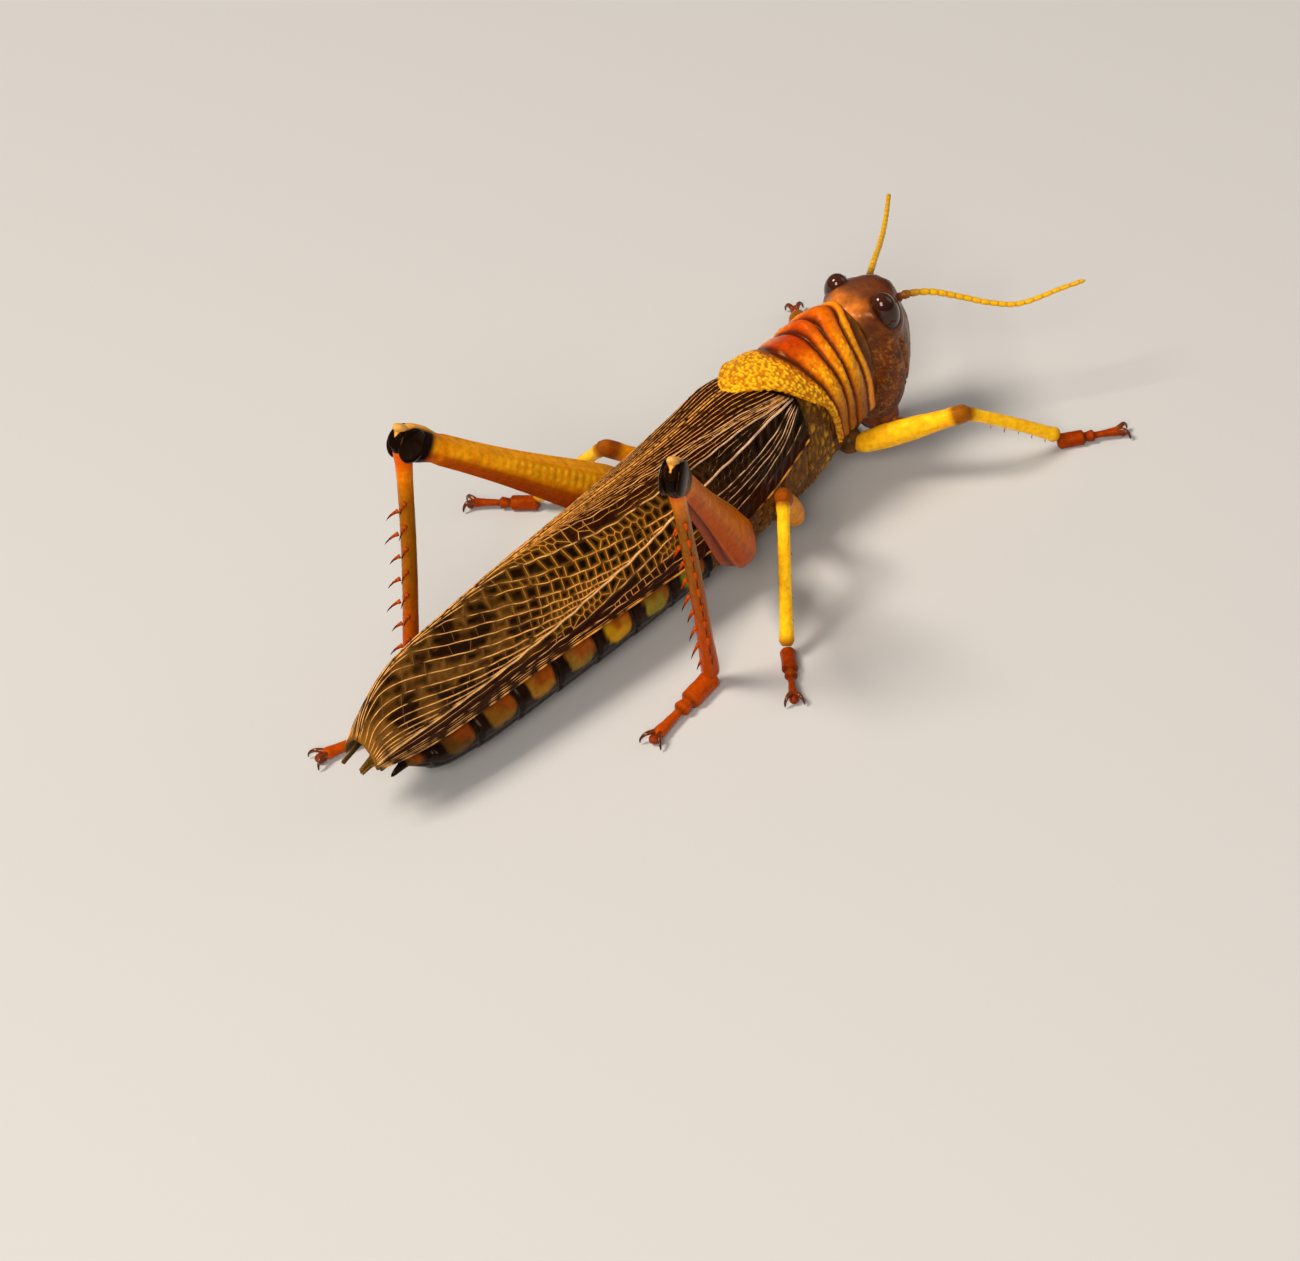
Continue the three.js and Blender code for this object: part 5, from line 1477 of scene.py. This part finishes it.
for label, form, hip, knee, ankle, toes in LEGS:
    hip, knee = Vector(hip), Vector(knee)
    ankle = Vector((ankle[0], ankle[1], ANKLE_HEIGHT - EYE_HEIGHT))
    # Femur and tibia lie in one plane, and across is square to it.
    across = (knee - hip).cross(ankle - knee).normalized()
    hind = form is HIND
    inner = 0.0 if hip.y > 0 else math.pi
    # Coxa, a short cone out of the side of the body, and the ring between it and the femur.
    inward = Vector((0.0, -math.copysign(1.0, hip.y), 0.35))
    thick = form["coxa"]
    spots = smooth_route([hip + inward * 3.6, hip + inward * 1.6, hip,
                          hip - inward * 0.3 * thick], 24)

    def coxa_radius(share):
        rounding = math.sqrt(max(0.0, 1 - max(0.0, share * 4 - 3) ** 2))
        return thick * (1.05 - 0.35 * share ** 2) * rounding

    coxa = rod_skin(f"coxa_{label}_cone", spots, coxa_radius, 32, coxa_paint, chest_finish)
    stand_in(coxa, "coxa", f"coxa_{label}")
    bm, layer = painted_bmesh()
    thigh = (knee - hip).normalized()
    ball(bm, layer, hip + thigh * 0.6 * thick, (0.62 * thick, 0.62 * thick, 0.45 * thick),
         thigh.to_track_quat("Z", "Y").to_matrix(), KNEE_BROWN)
    ring = mesh_object(f"coxa_{label}_ring", bm, leg_finish)
    stand_in(ring, "coxa", f"coxa_{label}")
    # Femur.
    columns, count, relief, paint = 40, 90, plain_relief, small_thigh_paint
    if hind:
        columns, count = 96, 240
        relief, paint = partial(thigh_relief, inner=inner), partial(thigh_paint, inner=inner)
    femur = limb_skin(f"femur_{label}_tube", hip, knee, across, form["femur"], columns, count, 0.0,
                      relief, paint, leg_finish if label.startswith("front") else thigh_finish)
    stand_in(femur, "hind_femur" if hind else "femur", f"femur_{label}")
    # Tibia.
    tibia = limb_skin(f"tibia_{label}_tube", knee, ankle, across, form["tibia"], 32, 110,
                      form["bow"], plain_relief, shin_paint if hind else small_shin_paint,
                      leg_finish)
    stand_in(tibia, "hind_tibia" if hind else "tibia", f"tibia_{label}")
    # Spines, in two rows down the back of the tibia. Each leans out and bends towards the foot,
    # in four stages from root to tip: how far out, how far along, how wide and which colour it
    # is where they meet.
    root_tint = EMBER if hind else AMBER_LEG
    stages = [(0.45, 0.0, 0.15, root_tint), (0.85, 0.10, 0.10, root_tint),
              (1.35, 0.32, 0.065, WINE), (1.75, 0.62, 0.035, KNEE_BLACK),
              (2.0, 0.90, 0.005, KNEE_BLACK)]
    shin = ankle - knee
    along = shin.normalized()
    behind = along.cross(across).normalized() * (1 if hind else -1)
    bm, layer = painted_bmesh()
    for edge in (-1, 1):
        lean = behind + across * edge * 0.4
        for i in range(form["spines"]):
            share = SPINES_FROM + SPINES_SPAN * (i + (0 if edge > 0 else 0.45)) / form["spines"]
            rise = form["spine"] * (0.9 + 0.15 * math.sin(i * 2.1))
            skin_spot = knee + shin * share + across * edge * 0.45
            for (low, drop, wide, tint), (high, fall, narrow, end_tint) in zip(stages, stages[1:]):
                root = skin_spot + lean * low * rise * 0.5 + along * drop * rise * 0.6
                tip = skin_spot + lean * high * rise * 0.5 + along * fall * rise * 0.6
                way = tip - root
                turn = way.to_track_quat("Z", "Y").to_matrix().to_4x4()
                spot = Matrix.Translation(at(*(root + tip) / 2)) @ turn
                made = bmesh.ops.create_cone(
                    bm, cap_ends=True, segments=8, radius1=form["spine"] * wide * MM,
                    radius2=form["spine"] * narrow * MM, depth=way.length * 1.04 * MM, matrix=spot)
                for vert in made["verts"]:
                    near_root = (vert.co - at(*root)).length < way.length / 2 * MM
                    vert[layer] = tint if near_root else end_tint
    spines = mesh_object(f"tibia_{label}_spines", bm, leg_finish)
    stand_in(spines, "hind_tibia" if hind else "tibia", f"tibia_{label}")
    # Foot: three joints with a pad under each, and two curved claws beside a round cushion.
    forward = Vector((toes[0], toes[1], 0)).normalized()
    sideways = Vector((-forward.y, forward.x, 0))
    ground = Vector((ankle.x, ankle.y, -EYE_HEIGHT))
    w, length = form["foot_width"], form["foot"]

    def foot_at(share, out, up):
        return ground + forward * share * length + sideways * out + Vector((0, 0, up))

    def foot_paint(u, v, point, t, turn):
        tone = mixed(RED_EDGE if hind else WINE, EMBER, 0.35 + 0.5 * noise.noise(point))
        return mixed(tone, KNEE_BLACK, 0.5 * ridge(t - 0.44, 0.03) + 0.5 * ridge(t - 0.60, 0.03))

    rows = [(t, high * w, wide * w) for t, high, wide in FOOT_ROWS]
    foot = limb_skin(f"tarsus_{label}_joints", foot_at(-0.02, 0, 0.85 * w + 0.1),
                     foot_at(0.9, 0, 1.0), sideways, rows, 28, 90, 0.0, plain_relief, foot_paint,
                     leg_finish)
    stand_in(foot, "tarsus", f"tarsus_{label}")
    bm, layer = painted_bmesh()
    ball(bm, layer, foot_at(0.93, 0, 0.72), (0.6 * w, 0.6 * w, 0.55), Matrix.Identity(3), WINE)
    cushion = mesh_object(f"tarsus_{label}_cushion", bm, chest_finish)
    stand_in(cushion, "tarsus", f"tarsus_{label}")
    for edge, name in ((-1, "inner"), (1, "outer")):
        route = [foot_at(0.86, edge * 0.2, 1.2), foot_at(0.95, edge * 0.7 * w, 1.45),
                 foot_at(1.0, edge * 1.1 * w, 0.95), foot_at(1.01, edge * 1.2 * w, 0.25)]
        claw = horn_tip(f"tarsus_{label}_{name}_claw", [tuple(p) for p in route], 0.36, 10,
                        (KNEE_BROWN, KNEE_BLACK), claw_finish)
        stand_in(claw, "tarsus", f"tarsus_{label}")
    if hind:
        # Knee lobes: a rounded black flap on each side of the tibia's head, and a cream one above.
        bm, layer = painted_bmesh()
        basis = Matrix((across, thigh.cross(across), thigh)).transposed()
        for edge in (-1, 1):
            flap = knee + across * edge * 1.05 - thigh * 0.9 + basis @ Vector((0, -0.25, 0))
            ball(bm, layer, flap, (0.6, 2.2, 2.2), basis, KNEE_BLACK)
        cap = knee + thigh * 0.9 + basis @ Vector((0, 1.3, 0))
        ball(bm, layer, cap, (0.75, 0.6, 1.3), basis, KNEE_CREAM)
        lobes = mesh_object(f"femur_{label}_knee_lobes", bm, leg_finish)
        stand_in(lobes, "hind_femur", f"femur_{label}")
